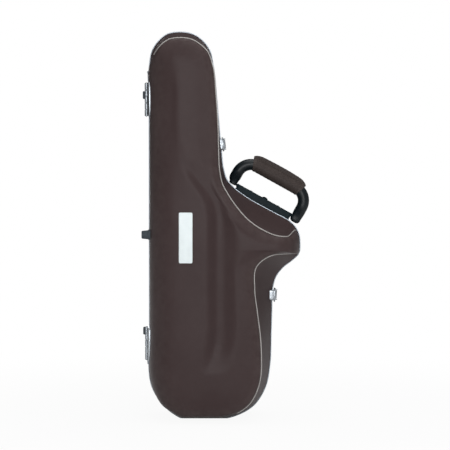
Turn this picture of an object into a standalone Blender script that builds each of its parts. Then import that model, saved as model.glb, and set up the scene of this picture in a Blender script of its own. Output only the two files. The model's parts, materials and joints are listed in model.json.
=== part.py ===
"""Alto saxophone case: two hinged moulded shells with a folding handle, draw latches and hardware.

Metres, +Z up. The case stands on its flat bottom as it is carried: X runs from the hinged spine
towards the bell, and the parting plane of the shells faces the viewer, lid at -Y and base at +Y.
The shells are laid out in a case frame whose X starts at the spine side of the outline, whose Z
starts at the floor and whose Y is zero on the parting plane. At the end the whole case is moved so
that the origin is the middle of its bottom.
"""

import math

import bmesh
import bpy
import numpy as np
from mathutils import Vector
from mathutils.bvhtree import BVHTree

# Overall sizes
CASE_LENGTH = 0.663
CASE_WIDTH = 0.260
LID_DEPTH = 0.088
BASE_DEPTH = 0.080

# Shells and lining
SHELL_WALL = 0.004
LID_CROWN = 0.0045
BASE_CROWN = 0.002
VALLEY_DEPTH = 0.0065
VALLEY_HALF_WIDTH = 0.030
LINER_PAD = 0.019
LINER_FLOOR = 0.016
LINER_EDGE_SINK = 0.0005
LINER_EDGE_GAP = 0.0018
LINER_GAP = 0.0006
CLEARANCE = 0.0003

# Aluminium rims and the seal between them
RIM_FLANGE_HEIGHT = 0.008
RIM_FLANGE_WALL = 0.001
RIM_WEB = 0.0027
RIM_WEB_WIDTH = 0.0058
RIM_LIP_WALL = 0.0015
RIM_LIP_RISE = 0.0030
RIM_LIP_GAP = 0.0005
SEAL_GROOVE_DEPTH = 0.0011
SEAL_GROOVE_WIDTH = 0.0026
SEAL_GROOVE_EDGE = 0.0016

# Piping along the seams
PIPING_RADIUS = 0.0010
PIPING_SIDES = 4
PIPING_GAP = 0.0009
PIPING_LEAN_SHARE = 0.34
PIPING_RAYS = {"upper": (-3, 17), "lower": (18, 28)}

# Hinges
HINGE_OFFSET = 0.0050
HINGE_LENGTH = 0.057
HINGE_BARREL_RADIUS = 0.00275
HINGE_BORE_RADIUS = 0.0015
HINGE_PIN_RADIUS = 0.0012
HINGE_LEAF_FACE = 0.0023
HINGE_LEAF_START = 0.0019
HINGE_LEAF_END = 0.017
HINGE_ROOT_START = 0.0017
HINGE_ROOT_END = 0.0026
HINGE_ROOT_REACH = 0.0034
HINGE_KNUCKLE_GAP = 0.0004
HINGE_RIVET_INSET = 0.009
HINGE_KNUCKLES = 5
HINGE_LEAF_STEPS = (4, 3)

# Rivets
RIVET_RADIUS = 0.0024
RIVET_CROWN_RADIUS = 0.0015
RIVET_HEIGHT = 0.0010
RIVET_SIDE_SHARE = 1.5
RIVET_END_SHARE = 1.3

# Draw latches
LATCH_WIDTH = 0.022
LATCH_PLATE_START = 0.0015
LATCH_PLATE_END = 0.034
LATCH_PLATE_FACE = 0.0016
LATCH_PLATE_STEPS = (2, 4)
LATCH_EAR_SPACING = 0.0160
LATCH_EAR_WALL = 0.0015
LATCH_EAR_START = 0.0025
LATCH_EAR_END = 0.0095
LATCH_EAR_HEIGHT = 0.0086
LATCH_EAR_SINK = 0.00075
LATCH_PIVOT_DEPTH = 0.006
LATCH_PIVOT_HEIGHT = 0.0055
LATCH_PIN_RADIUS = 0.0010
LATCH_BORE_RADIUS = 0.0014
LEVER_BARREL_RADIUS = 0.0024
LEVER_WALL = 0.0020
LEVER_LENGTH = 0.032
BAIL_RADIUS = 0.0011
BAIL_DEPTH = 0.014
BAIL_REACH = 0.025
BAIL_HALF_WIDTH = 0.0112
BAIL_HEIGHT = 0.0039
BAIL_CORNER = 0.0022
CATCH_WIDTH = 0.018
CATCH_START = 0.002
CATCH_END = 0.017
CATCH_FACE = 0.0024
CATCH_RIDGE_WALL = 0.0035
CATCH_RIDGE_HEIGHT = 0.0056
CATCH_RIDGE_INSET = 0.0015
CATCH_RIDGE_SINK = 0.0015
CATCH_RIDGE_SETBACK = 0.00075
CATCH_STEPS = (2, 3)

# Handle
HANDLE_DEPTH = 0.022
HANDLE_SPAN = 0.1265
HANDLE_REACH = 0.0460
HANDLE_CORNER_RADIUS = 0.026
HANDLE_TUBE_RADIUS = 0.0098
HANDLE_TIP_HALF_WALL = 0.0034
HANDLE_TIP_HALF_WIDTH = 0.0055
HANDLE_TIP_DROP = 0.0028
HANDLE_TAPER = 0.0105
HANDLE_SETBACK = 0.0030
HANDLE_AXIS_DROP = 0.0030
HANDLE_BAR_WIDTH = 0.024
HANDLE_BAR_END_GAP = 0.0005
HANDLE_BAR_STEPS = (6, 2)
HANDLE_CORNER_STEPS = 5
HANDLE_STUB_RADIUS = 0.0018
HANDLE_STUB_ROOT = 0.005
HANDLE_STUB_REACH = 0.012
WRAP_WALL = 0.0014
WRAP_FLANGE = 0.0077
WRAP_FILLET = 0.0012
WRAP_END_ANGLE = math.radians(21)

# D-rings on the spine
RING_WIRE_RADIUS = 0.0015
RING_WIDTH = 0.024
RING_DROP = 0.0165
RING_DEPTH = 0.033
RING_SHOULDER = 0.0030
RING_STEPS = 6
SADDLE_LENGTH = 0.012
SADDLE_WIDTH = 0.022
SADDLE_FACE = 0.0016
SADDLE_STEPS = (2, 3)
SADDLE_BARREL_RADIUS = 0.0028
SADDLE_BARREL_LENGTH = 0.013
SADDLE_BARREL_HEIGHT = 0.0032
SADDLE_BORE_RADIUS = 0.0019

# Feet along the spine
FOOT_REACH = 0.0122
FOOT_BASE_RADIUS = 0.0088
FOOT_END_RADIUS = 0.0064
FOOT_SKIRT = 0.0020
FOOT_DEPTH = 0.030

# Name plate
PLATE_WALL = 0.0012
PLATE_GAP = 0.0005
PLATE_STEPS = (6, 3)

# Foam blocks inside the base
BLOCK_FACE_DEPTH = 0.012
BLOCK_NOTCH_RADIUS = {"neck": 0.013, "bow": 0.030}
BLOCK_LENGTH = 0.034
BLOCK_STEPS = (2, 8)

# Overrun of cutters and the height from which seats are probed
CUT_OVERRUN = 0.002
PROBE_HEIGHT = 0.060
PROBE_SHARES = (-1, -0.5, 0, 0.5, 1)

# Steps of round shapes
ARC_STEPS = 3
FACE_STEPS = 3
ROUND_SIDES = 12
SMALL_SIDES = 8
SHARP_ANGLE = math.radians(35)

# Outline of the right side from the crown to the floor, each row as shares of the case width and
# length: rim x, rim z, seam x, seam z, face edge x, face edge z, and the seam's share of the depth
RIGHT_ROW_SHARES = (
    (0.212, 1.000, 0.212, 0.990, 0.212, 0.966, 0.86),
    (0.298, 0.994, 0.290, 0.986, 0.275, 0.963, 0.86),
    (0.364, 0.976, 0.351, 0.971, 0.321, 0.952, 0.86),
    (0.407, 0.952, 0.397, 0.949, 0.354, 0.936, 0.86),
    (0.426, 0.919, 0.422, 0.919, 0.367, 0.914, 0.86),
    (0.449, 0.836, 0.446, 0.836, 0.389, 0.836, 0.86),
    (0.467, 0.756, 0.459, 0.755, 0.401, 0.753, 0.86),
    (0.482, 0.696, 0.463, 0.694, 0.405, 0.691, 0.86),
    (0.496, 0.647, 0.470, 0.643, 0.414, 0.638, 0.86),
    (0.523, 0.617, 0.490, 0.609, 0.436, 0.599, 0.86),
    (0.562, 0.600, 0.520, 0.587, 0.467, 0.574, 0.86),
    (0.638, 0.577, 0.577, 0.554, 0.529, 0.538, 0.86),
    (0.741, 0.553, 0.658, 0.516, 0.619, 0.497, 0.86),
    (0.847, 0.531, 0.757, 0.488, 0.726, 0.469, 0.86),
    (0.926, 0.514, 0.837, 0.476, 0.807, 0.459, 0.86),
    (0.963, 0.501, 0.906, 0.472, 0.857, 0.455, 0.84),
    (0.983, 0.489, 0.959, 0.480, 0.876, 0.451, 0.42),
    (1.000, 0.460, 0.996, 0.460, 0.885, 0.447, 0.14),
    (0.992, 0.429, 0.988, 0.430, 0.880, 0.442, 0.14),
    (0.949, 0.412, 0.916, 0.428, 0.853, 0.439, 0.50),
    (0.890, 0.394, 0.810, 0.424, 0.774, 0.436, 0.86),
    (0.840, 0.368, 0.724, 0.394, 0.672, 0.406, 0.86),
    (0.822, 0.344, 0.705, 0.346, 0.648, 0.350, 0.86),
    (0.815, 0.281, 0.723, 0.281, 0.666, 0.281, 0.86),
    (0.810, 0.217, 0.746, 0.217, 0.688, 0.217, 0.86),
    (0.804, 0.147, 0.754, 0.148, 0.695, 0.152, 0.86),
    (0.771, 0.080, 0.729, 0.087, 0.672, 0.099, 0.86),
    (0.695, 0.034, 0.668, 0.041, 0.625, 0.058, 0.84),
    (0.599, 0.011, 0.589, 0.014, 0.559, 0.040, 0.80),
    (0.483, 0.000, 0.483, 0.000, 0.470, 0.035, 0.75),
    (0.351, 0.000, 0.351, 0.000, 0.364, 0.035, 0.75),
)
# The same for the left side: rows beside the crown, one straight spine row, rows near the floor
LEFT_CROWN_SHARES = (
    (0.130, 0.995, 0.138, 0.985, 0.156, 0.962, 0.86),
    (0.067, 0.976, 0.085, 0.969, 0.126, 0.948, 0.84),
    (0.026, 0.950, 0.044, 0.945, 0.120, 0.927, 0.60),
    (0.011, 0.919, 0.014, 0.919, 0.133, 0.906, 0.22),
)
SPINE_ROW_SHARES = (0.008, 0.011, 0.159, 0.20)
LEFT_FLOOR_SHARES = (
    (0.003, 0.147, 0.006, 0.147, 0.159, 0.149, 0.20),
    (0.026, 0.080, 0.030, 0.082, 0.166, 0.100, 0.26),
    (0.095, 0.037, 0.100, 0.039, 0.206, 0.070, 0.50),
    (0.163, 0.013, 0.166, 0.015, 0.239, 0.049, 0.66),
    (0.219, 0.000, 0.219, 0.000, 0.262, 0.035, 0.75),
)
# Line in which both sides meet on the face: it runs down the valley between body and bell
CENTRE_SHARES = (
    (0.219, 0.914),
    (0.219, 0.836),
    (0.225, 0.756),
    (0.258, 0.696),
    (0.311, 0.647),
    (0.364, 0.615),
    (0.410, 0.590),
    (0.450, 0.563),
    (0.467, 0.535),
    (0.471, 0.505),
    (0.471, 0.478),
    (0.471, 0.466),
    (0.471, 0.459),
    (0.471, 0.452),
    (0.471, 0.447),
    (0.471, 0.442),
    (0.471, 0.425),
    (0.471, 0.395),
    (0.471, 0.350),
    (0.471, 0.281),
    (0.466, 0.217),
    (0.427, 0.147),
    (0.397, 0.102),
)
FIRST_CENTRE_ROW = 4
# Depth of each shell along the case, as shares of its greatest depth at shares of the length
LID_DEPTH_SHARES = (
    (0.0, 0.92),
    (0.1, 0.97),
    (0.25, 1.0),
    (0.45, 1.0),
    (0.6, 0.93),
    (0.75, 0.84),
    (1.0, 0.76),
)
BASE_DEPTH_SHARES = ((0.0, 0.97), (0.1, 1.0), (0.45, 1.0), (0.6, 0.95), (0.8, 0.87), (1.0, 0.82))
VALLEY_FADE_SHARES = ((0.10, 0.0), (0.17, 0.6), (0.25, 1.0), (0.50, 1.0), (0.60, 0.6), (0.68, 0.0))
# The base has steeper walls than the lid: shares of the lid's inset at its seam and face edge
BASE_SEAM_INSET_SHARE = 0.15
BASE_FACE_INSET_SHARE = 0.75
BASE_SEAM_DEPTH_SHARE = 0.50
# The lining's cavity: how far its wall leans in and where its floor starts, towards the centre
CAVITY_WALL_SHARE = 0.14
CAVITY_FLOOR_SHARE = 0.36
CAVITY_WALL_DEPTH_SHARE = 0.72

# Places along the case, as shares of its length
HINGE_PLACE_SHARES = {"upper": 0.827, "lower": 0.1945}
LATCH_PLACE_SHARES = {"upper": 0.711, "lower": 0.322}
RING_PLACE_SHARES = {"upper": 0.908, "lower": 0.170}
FOOT_PLACE_SHARES = {"upper": 0.840, "middle": 0.479, "lower": 0.223}
PLATE_X_SHARES = (0.209, 0.297)
PLATE_Z_SHARES = (0.411, 0.539)
# Stations of the wrap: share of the straight grip, share of the end angle, share of the flange
WRAP_STATION_SHARES = (
    (0.0, -1.0, 0.55),
    (0.0, -0.5, 0.75),
    (0.0, 0.0, 0.90),
    (0.35, 0.0, 1.0),
    (0.70, 0.0, 1.0),
    (1.0, 0.0, 0.85),
    (1.0, 0.5, 0.65),
    (1.0, 1.0, 0.35),
)
HANDLE_LINE_SHARES = ((0.549, 0.6185), (0.9617, 0.5284))
SCREW_PLACE_SHARES = {"near": 0.25, "far": 0.75}
AXIS_DISPLAY_SHARE = 0.05
BLOCK_PLACE_SHARES = {"neck": (0.219, 0.865), "bow": (0.400, 0.115)}
BLOCK_WIDTH_SHARES = {"neck": 0.145, "bow": 0.36}

PARTS = {}


def clear_scene():
    """Removes every object that the file opened with."""
    for obj in list(bpy.data.objects):
        bpy.data.objects.remove(obj, do_unlink=True)


def linear(value):
    """One sRGB channel, 0 to 255, as a linear value."""
    share = value / 255
    return share / 12.92 if share <= 0.04045 else ((share + 0.055) / 1.055) ** 2.4


def make_material(name, colour, roughness, metallic=0.0):
    """A Principled material with one colour, roughness and metallic value."""
    material = bpy.data.materials.new(name)
    material.use_nodes = True
    shader = material.node_tree.nodes["Principled BSDF"]
    shader.inputs["Base Color"].default_value = (*(linear(c) for c in colour), 1.0)
    shader.inputs["Roughness"].default_value = roughness
    shader.inputs["Metallic"].default_value = metallic
    return material


FINISHES = {
    "leather": ((68, 60, 60), 0.55, 0.0),
    "insert": ((72, 66, 66), 0.60, 0.0),
    "piping": ((158, 148, 140), 0.60, 0.0),
    "aluminium": ((188, 190, 194), 0.35, 1.0),
    "steel": ((176, 182, 188), 0.28, 1.0),
    "rubber": ((48, 52, 56), 0.75, 0.0),
    "handle": ((42, 46, 50), 0.45, 0.0),
    "wrap": ((66, 60, 58), 0.60, 0.0),
    "plush": ((58, 52, 54), 0.95, 0.0),
    "plate": ((236, 242, 243), 0.40, 0.2),
}


class Solid:
    """Corners and triangles of one or more closed bodies in the case frame."""

    def __init__(self):
        self.points = []
        self.faces = []

    def add(self, points):
        """Adds points and returns their indices."""
        first = len(self.points)
        self.points += [Vector(p) for p in points]
        return list(range(first, len(self.points)))

    def quad(self, a, b, c, d):
        """Adds four corners as two triangles, leaving out one that has no area."""
        if b != c and a != b:
            self.faces.append((a, b, c))
        if c != d and d != a:
            self.faces.append((a, c, d))

    def band(self, lower, upper, closed=True):
        """Joins two rows of the same count with quads."""
        count = len(lower)
        for i in range(count if closed else count - 1):
            j = (i + 1) % count
            self.quad(lower[i], lower[j], upper[j], upper[i])

    def cap(self, ring):
        """Fills a ring with a fan about its middle."""
        middle = self.add([sum((self.points[i] for i in ring), Vector()) / len(ring)])[0]
        for i, index in enumerate(ring):
            self.faces.append((index, ring[(i + 1) % len(ring)], middle))

    def loft(self, rings, closed=False):
        """Adds rings of points joined in order, capped at both ends unless they close on themselves."""
        rows = [self.add(ring) for ring in rings]
        for lower, upper in zip(rows, rows[1:]):
            self.band(lower, upper)
        if closed:
            self.band(rows[-1], rows[0])
        else:
            self.cap(rows[0])
            self.cap(rows[-1])


def mesh_from(solid, name, pivot):
    """A mesh with outward faces, its corners measured from a pivot."""
    mesh = bpy.data.meshes.new(name)
    mesh.from_pydata([tuple(p - pivot) for p in solid.points], [], solid.faces)
    shape = bmesh.new()
    shape.from_mesh(mesh)
    bmesh.ops.recalc_face_normals(shape, faces=shape.faces)
    shape.to_mesh(mesh)
    shape.free()
    return mesh


def make_part(name, solid, finish, body):
    """Makes a named object from a solid, on the empty of the body that it moves with."""
    mesh = mesh_from(solid, name, PIVOTS[body])
    mesh.shade_smooth()
    mesh.set_sharp_from_angle(angle=SHARP_ANGLE)
    mesh.materials.append(MATERIALS[finish])
    part = bpy.data.objects.new(name, mesh)
    bpy.context.scene.collection.objects.link(part)
    part.parent = BODIES[body]
    PARTS[name] = part


def combined(solids, holes=()):
    """The solids joined into one and the holes taken out of them, as a new solid."""
    objects = []
    for index, solid in enumerate([*solids, *holes]):
        mesh = mesh_from(solid, f"cutter_{index}", Vector())
        cutter = bpy.data.objects.new(f"cutter_{index}", mesh)
        cutter.hide_render = True
        cutter.display_type = "WIRE"
        bpy.context.scene.collection.objects.link(cutter)
        objects.append(cutter)
    body = objects[0]
    for index, cutter in enumerate(objects[1:], start=1):
        modifier = body.modifiers.new(cutter.name, "BOOLEAN")
        modifier.operation = "UNION" if index < len(solids) else "DIFFERENCE"
        modifier.solver = "EXACT"
        modifier.object = cutter
    bpy.context.view_layer.update()
    evaluated = body.evaluated_get(bpy.context.evaluated_depsgraph_get())
    mesh = evaluated.to_mesh()
    result = Solid()
    result.add([v.co.copy() for v in mesh.vertices])
    result.faces = [tuple(p.vertices) for p in mesh.polygons]
    evaluated.to_mesh_clear()
    for cutter in objects:
        bpy.data.objects.remove(cutter, do_unlink=True)
    return result


def merged(solids):
    """Several closed bodies as one group."""
    group = Solid()
    for solid in solids:
        first = len(group.points)
        group.points += solid.points
        group.faces += [tuple(i + first for i in face) for face in solid.faces]
    return group


# The shells


class Ray:
    """One station of the outline: its rim, seam and face points in plan, and its row."""

    def __init__(self, row, shares):
        rim_x, rim_z, seam_x, seam_z, face_x, face_z, depth = shares
        self.row = row
        self.rim = np.array((rim_x * CASE_WIDTH, rim_z * CASE_LENGTH))
        self.seam = np.array((seam_x * CASE_WIDTH, seam_z * CASE_LENGTH))
        self.face = np.array((face_x * CASE_WIDTH, face_z * CASE_LENGTH))
        self.seam_depth_share = depth
        inward = self.face - self.rim
        self.inward = inward / np.linalg.norm(inward)


def left_rows():
    """Rows of the left side from the crown down, the spine rows level with the right side's."""
    first = len(LEFT_CROWN_SHARES) + 1
    last = len(RIGHT_ROW_SHARES) - 1 - len(LEFT_FLOOR_SHARES)
    rim, seam, face, depth = SPINE_ROW_SHARES
    heights = [RIGHT_ROW_SHARES[row][1] for row in range(first, last)]
    spine = [(rim, z, seam, z, face, z, depth) for z in heights]
    return list(LEFT_CROWN_SHARES) + spine + list(LEFT_FLOOR_SHARES)


def outline_rays():
    """All rays clockwise from the crown: down the right side, across the floor and up the spine."""
    right = [Ray(row, shares) for row, shares in enumerate(RIGHT_ROW_SHARES)]
    left = [Ray(row + 1, shares) for row, shares in enumerate(left_rows())]
    return right + left[::-1]


RAYS = outline_rays()
CENTRES = [np.array((x * CASE_WIDTH, z * CASE_LENGTH)) for x, z in CENTRE_SHARES]


def centre_index(ray):
    """The point of the centre line that a ray runs to."""
    return min(max(ray.row - FIRST_CENTRE_ROW, 0), len(CENTRES) - 1)


def from_table(shares, z):
    """Linear value at a height, from a table of shares of the case length."""
    heights, values = zip(*shares)
    return float(np.interp(z / CASE_LENGTH, heights, values))


class Half:
    """The lid or the base: its side of the parting plane and the shape of its skin."""

    def __init__(self, sign, depth, depth_shares, crown, valley):
        self.sign = sign
        self.full_depth = depth
        self.depth_shares = depth_shares
        self.crown = crown
        self.valley = valley
        self.is_base = sign > 0

    def point(self, plan, depth):
        """A point in the case frame from its plan place and its depth behind the parting plane."""
        return Vector((plan[0], self.sign * depth, plan[1]))

    def depth_at(self, z):
        """Depth of the flat face at a height."""
        return self.full_depth * from_table(self.depth_shares, z)

    def seam(self, ray):
        """Plan place and depth of the seam."""
        if not self.is_base:
            return ray.seam, ray.seam_depth_share * self.depth_at(ray.seam[1])
        plan = ray.rim + (ray.seam - ray.rim) * BASE_SEAM_INSET_SHARE
        share = max(ray.seam_depth_share, BASE_SEAM_DEPTH_SHARE)
        return plan, share * self.depth_at(plan[1])

    def face(self, ray):
        """Plan place of the edge of the face."""
        if not self.is_base:
            return ray.face
        return ray.rim + (ray.face - ray.rim) * BASE_FACE_INSET_SHARE

    def face_depth(self, plan, centre, reach):
        """Depth of the crowned face, less the valley, at a share of the way to the centre."""
        depth = self.depth_at(plan[1]) + self.crown * (1 - (1 - reach) ** 2)
        distance = float(np.linalg.norm(plan - centre))
        valley = max(0.0, 1 - distance / VALLEY_HALF_WIDTH) * from_table(VALLEY_FADE_SHARES, plan[1])
        return depth - self.valley * valley

    def skin(self, inset, sink, arc_steps):
        """Rings of the skin from the seam to the last ring before the centre, and the centre points."""
        rings = [[] for _ in range(arc_steps + FACE_STEPS)]
        for ray in RAYS:
            shift = ray.inward * inset
            seam, seam_depth = self.seam(ray)
            face = self.face(ray)
            face_depth = self.depth_at(face[1])
            centre = CENTRES[centre_index(ray)]
            for step in range(arc_steps + 1):
                angle = math.pi / 2 * step / arc_steps
                plan = seam + (face - seam) * (1 - math.cos(angle)) + shift
                depth = seam_depth + (face_depth - seam_depth) * math.sin(angle) - sink
                rings[step].append(self.point(plan, depth))
            for step in range(1, FACE_STEPS):
                reach = step / FACE_STEPS
                plan = face + shift + (centre - face - shift) * reach
                depth = self.face_depth(plan, centre, reach) - sink
                rings[arc_steps + step].append(self.point(plan, depth))
        middle = [self.point(c, self.face_depth(c, c, 1.0) - sink) for c in CENTRES]
        return rings, middle


def level_ring(half, inset, depth):
    """A ring that follows the rim at an inset and a depth."""
    return [half.point(ray.rim + ray.inward * inset, depth) for ray in RAYS]


def close_centre(solid, ring, middle):
    """Joins the innermost ring to the centre line."""
    centre = solid.add(middle)
    for i, index in enumerate(ring):
        j = (i + 1) % len(ring)
        solid.quad(index, ring[j], centre[centre_index(RAYS[j])], centre[centre_index(RAYS[i])])


def tray(outer, outer_middle, inner, inner_middle):
    """A closed tray from its outer rings and inner rings, both listed from the open edge inwards."""
    solid = Solid()
    edges = []
    for rings, middle in ((outer, outer_middle), (inner, inner_middle)):
        rows = [solid.add(ring) for ring in rings]
        for lower, upper in zip(rows, rows[1:]):
            solid.band(lower, upper)
        close_centre(solid, rows[-1], middle)
        edges.append(rows[0])
    solid.band(*edges)
    return solid


def shell_solid(half):
    """The moulded shell, rabbeted at its edge so that the rim lies flush."""
    edge = RIM_WEB + CLEARANCE
    land = RIM_FLANGE_HEIGHT + CLEARANCE
    rabbet = RIM_FLANGE_WALL + CLEARANCE
    skin, middle = half.skin(0.0, 0.0, ARC_STEPS)
    step = ((rabbet, edge), (rabbet, land), (0.0, land))
    outer = [level_ring(half, inset, depth) for inset, depth in step] + skin
    lining, lining_middle = half.skin(SHELL_WALL, SHELL_WALL, ARC_STEPS)
    inner = [level_ring(half, SHELL_WALL, edge)] + lining
    return tray(outer, middle, inner, lining_middle)


def liner_top_inset():
    """Inset of the lining's outer edge, inside the lip of the base rim."""
    return RIM_WEB_WIDTH + RIM_LIP_GAP + RIM_LIP_WALL + LINER_EDGE_GAP


def cavity_rings(half):
    """Rings of the padded cavity from its mouth to its floor, and its centre points."""
    rings = [[], [], []]
    for ray in RAYS:
        centre = CENTRES[centre_index(ray)]
        mouth = ray.rim + ray.inward * (liner_top_inset() + LINER_PAD)
        floor = half.depth_at(ray.rim[1]) - LINER_FLOOR - SHELL_WALL
        wall = mouth + (centre - mouth) * CAVITY_WALL_SHARE
        edge = mouth + (centre - mouth) * CAVITY_FLOOR_SHARE
        rings[0].append(half.point(mouth, LINER_EDGE_SINK))
        rings[1].append(half.point(wall, floor * CAVITY_WALL_DEPTH_SHARE))
        rings[2].append(half.point(edge, floor - half.valley))
    depths = [half.depth_at(c[1]) - LINER_FLOOR - SHELL_WALL - half.valley for c in CENTRES]
    return rings, [half.point(c, d) for c, d in zip(CENTRES, depths)]


def liner_solid(half):
    """The foam lining: its back follows the shell, its front is the padded cavity."""
    back, back_middle = half.skin(SHELL_WALL + LINER_GAP, SHELL_WALL + LINER_GAP, ARC_STEPS)
    outer = [level_ring(half, liner_top_inset(), LINER_EDGE_SINK)] + back
    return tray(outer, back_middle, *cavity_rings(half))


def rim_solid(half, profile):
    """A closed rim swept round the outline from a profile of insets and depths."""
    solid = Solid()
    rows = [solid.add(level_ring(half, inset, depth)) for inset, depth in profile]
    for lower, upper in zip(rows, rows[1:] + rows[:1]):
        solid.band(lower, upper)
    return solid


def lid_rim_profile():
    """L-shaped section: an outer flange and a web over the edge of the shell."""
    return (
        (0.0, CLEARANCE),
        (0.0, RIM_FLANGE_HEIGHT),
        (RIM_FLANGE_WALL, RIM_FLANGE_HEIGHT),
        (RIM_FLANGE_WALL, RIM_WEB),
        (RIM_WEB_WIDTH, RIM_WEB),
        (RIM_WEB_WIDTH, CLEARANCE),
    )


def base_rim_profile():
    """The same with a groove for the seal and a lip that the lid closes over."""
    lip = RIM_WEB_WIDTH + RIM_LIP_GAP
    groove = SEAL_GROOVE_EDGE + SEAL_GROOVE_WIDTH
    return (
        (0.0, 0.0),
        (0.0, RIM_FLANGE_HEIGHT),
        (RIM_FLANGE_WALL, RIM_FLANGE_HEIGHT),
        (RIM_FLANGE_WALL, RIM_WEB),
        (lip + RIM_LIP_WALL, RIM_WEB),
        (lip + RIM_LIP_WALL, -RIM_LIP_RISE),
        (lip, -RIM_LIP_RISE),
        (lip, 0.0),
        (groove, 0.0),
        (groove, SEAL_GROOVE_DEPTH),
        (SEAL_GROOVE_EDGE, SEAL_GROOVE_DEPTH),
        (SEAL_GROOVE_EDGE, 0.0),
    )


def seal_profile():
    """The rubber strip in the groove, flush with the base rim."""
    near = SEAL_GROOVE_EDGE + CLEARANCE
    far = SEAL_GROOVE_EDGE + SEAL_GROOVE_WIDTH - CLEARANCE
    bottom = SEAL_GROOVE_DEPTH - CLEARANCE
    return ((near, 0.0), (near, bottom), (far, bottom), (far, 0.0))


def tube_rings(points, radii, sides, closed=False, facing=None):
    """Rings of a tube along points, each radius a pair: towards the facing side and square to it."""
    count = len(points)
    rings = []
    side = facing
    for i, point in enumerate(points):
        before = points[i - 1] if i or closed else point
        after = points[(i + 1) % count] if i < count - 1 or closed else point
        along = (after - before).normalized()
        if side is None:
            side = along.orthogonal()
        side = (side - along * side.dot(along)).normalized()
        up = along.cross(side)
        ring = []
        for step in range(sides):
            angle = math.tau * step / sides
            ring.append(point + side * radii[i][0] * math.cos(angle) + up * radii[i][1] * math.sin(angle))
        rings.append(ring)
    return rings


def tube_solid(points, radius, sides, closed=False, facing=None):
    """A solid tube of one radius."""
    solid = Solid()
    solid.loft(tube_rings(points, [(radius, radius)] * len(points), sides, closed, facing), closed)
    return solid


def piping_solid(half, first, last):
    """Piping that lies on the seam from one ray to another."""
    points = []
    for index in range(first, last + 1):
        ray = RAYS[index % len(RAYS)]
        plan, depth = half.seam(ray)
        outward = -Vector((ray.inward[0], 0.0, ray.inward[1]))
        outward = (outward + Vector((0.0, half.sign * PIPING_LEAN_SHARE, 0.0))).normalized()
        points.append(half.point(plan, depth) + outward * (PIPING_RADIUS + PIPING_GAP))
    return tube_solid(points, PIPING_RADIUS, PIPING_SIDES)


# Places on the outline and seats on the shells


class Place:
    """A local frame: an origin, t along the rim, n outwards and w across the case."""

    def __init__(self, origin, along, outward, across):
        self.origin = Vector(origin)
        self.along = Vector(along).normalized()
        self.outward = Vector(outward).normalized()
        self.across = Vector(across).normalized()

    def at(self, t, n, w):
        """A point at local sizes."""
        return self.origin + self.along * t + self.outward * n + self.across * w

    def block(self, t_range, n_range, w_range):
        """A closed block between local sizes."""
        solid = Solid()
        rings = []
        for t in t_range:
            near = [self.at(t, n, w_range[0]) for n in n_range]
            far = [self.at(t, n, w_range[1]) for n in n_range]
            rings.append(near + far[::-1])
        solid.loft(rings)
        return solid

    def rod(self, t_range, n, w, radius, sides=ROUND_SIDES):
        """A round rod along t."""
        points = [self.at(t, n, w) for t in t_range]
        return tube_solid(points, radius, sides, facing=self.outward)

    def sleeve(self, t_range, n, w, radius, bore_radius, sides=ROUND_SIDES):
        """A round sleeve along t with a bore through it."""
        ends = [self.at(t, n, w) for t in t_range]
        outer = tube_rings(ends, [(radius, radius)] * len(ends), sides, facing=self.outward)
        inner = tube_rings(ends, [(bore_radius, bore_radius)] * len(ends), sides, facing=self.outward)
        solid = Solid()
        solid.loft(outer + inner[::-1], closed=True)
        return solid

    def stud(self, t, w, profile, sides=SMALL_SIDES):
        """A turned stud standing along n, from a profile of radii and heights."""
        solid = Solid()
        points = [self.at(t, height, w) for _, height in profile]
        radii = [radius for radius, _ in profile]
        rings = []
        for point, radius in zip(points, radii):
            ring = []
            for step in range(sides):
                angle = math.tau * (step + 0.5) / sides
                ring.append(point + (self.along * math.cos(angle) + self.across * math.sin(angle)) * radius)
            rings.append(ring)
        solid.loft(rings)
        return solid


def rim_place(share, left):
    """The place on the rim at a share of the length, on the spine or on the right side."""
    z = share * CASE_LENGTH
    right_count = len(RIGHT_ROW_SHARES)
    side = RAYS[right_count - 1 :] + RAYS[:1] if left else RAYS[:right_count][::-1]
    pairs = list(zip(side, side[1:]))
    lower, upper = next((pair for pair in pairs if z < pair[1].rim[1]), pairs[-1])
    run = (z - lower.rim[1]) / (upper.rim[1] - lower.rim[1])
    x, height = lower.rim + (upper.rim - lower.rim) * run
    dx, dz = upper.rim - lower.rim
    along = Vector((dx, 0.0, dz)).normalized()
    outward = Vector((-along.z, 0.0, along.x)) if left else Vector((along.z, 0.0, -along.x))
    return Place((x, 0.0, height), along, outward, (0.0, 1.0, 0.0))


def surface_of(solids):
    """A tree for finding where a line meets these solids."""
    group = merged(solids)
    return BVHTree.FromPolygons([tuple(p) for p in group.points], group.faces)


def seat_height(surface, place, t, w):
    """Height along n at which a line towards the case meets it, or none."""
    start = place.at(t, PROBE_HEIGHT, w)
    hit = surface.ray_cast(start, -place.outward)
    return None if hit[0] is None else PROBE_HEIGHT - hit[3]


def seat_near(surface, place, middle, grids):
    """The highest seat within half a grid step of a place on a block."""
    spans = []
    for value, (low, step, high) in zip(middle, grids):
        reach = (step - low) / 2
        spans.append([min(max(value + reach * share, low), high) for share in PROBE_SHARES])
    probes = [seat_height(surface, place, t, w) for t in spans[0] for w in spans[1]]
    return max(height for height in probes if height is not None)


def spaced(span, steps):
    """Evenly spaced values from one end of a span to the other."""
    low, high = span
    return [low + (high - low) * i / steps for i in range(steps + 1)]


def slab(lower_grid, upper_grid):
    """A closed body between two grids of points of the same size."""
    solid = Solid()
    lower = [solid.add(row) for row in lower_grid]
    upper = [solid.add(row) for row in upper_grid]
    for rows in (lower, upper):
        for near, far in zip(rows, rows[1:]):
            solid.band(near, far, closed=False)
    for end in (0, -1):
        solid.band(lower[end], upper[end], closed=False)
        solid.band([row[end] for row in lower], [row[end] for row in upper], closed=False)
    return solid


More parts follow.
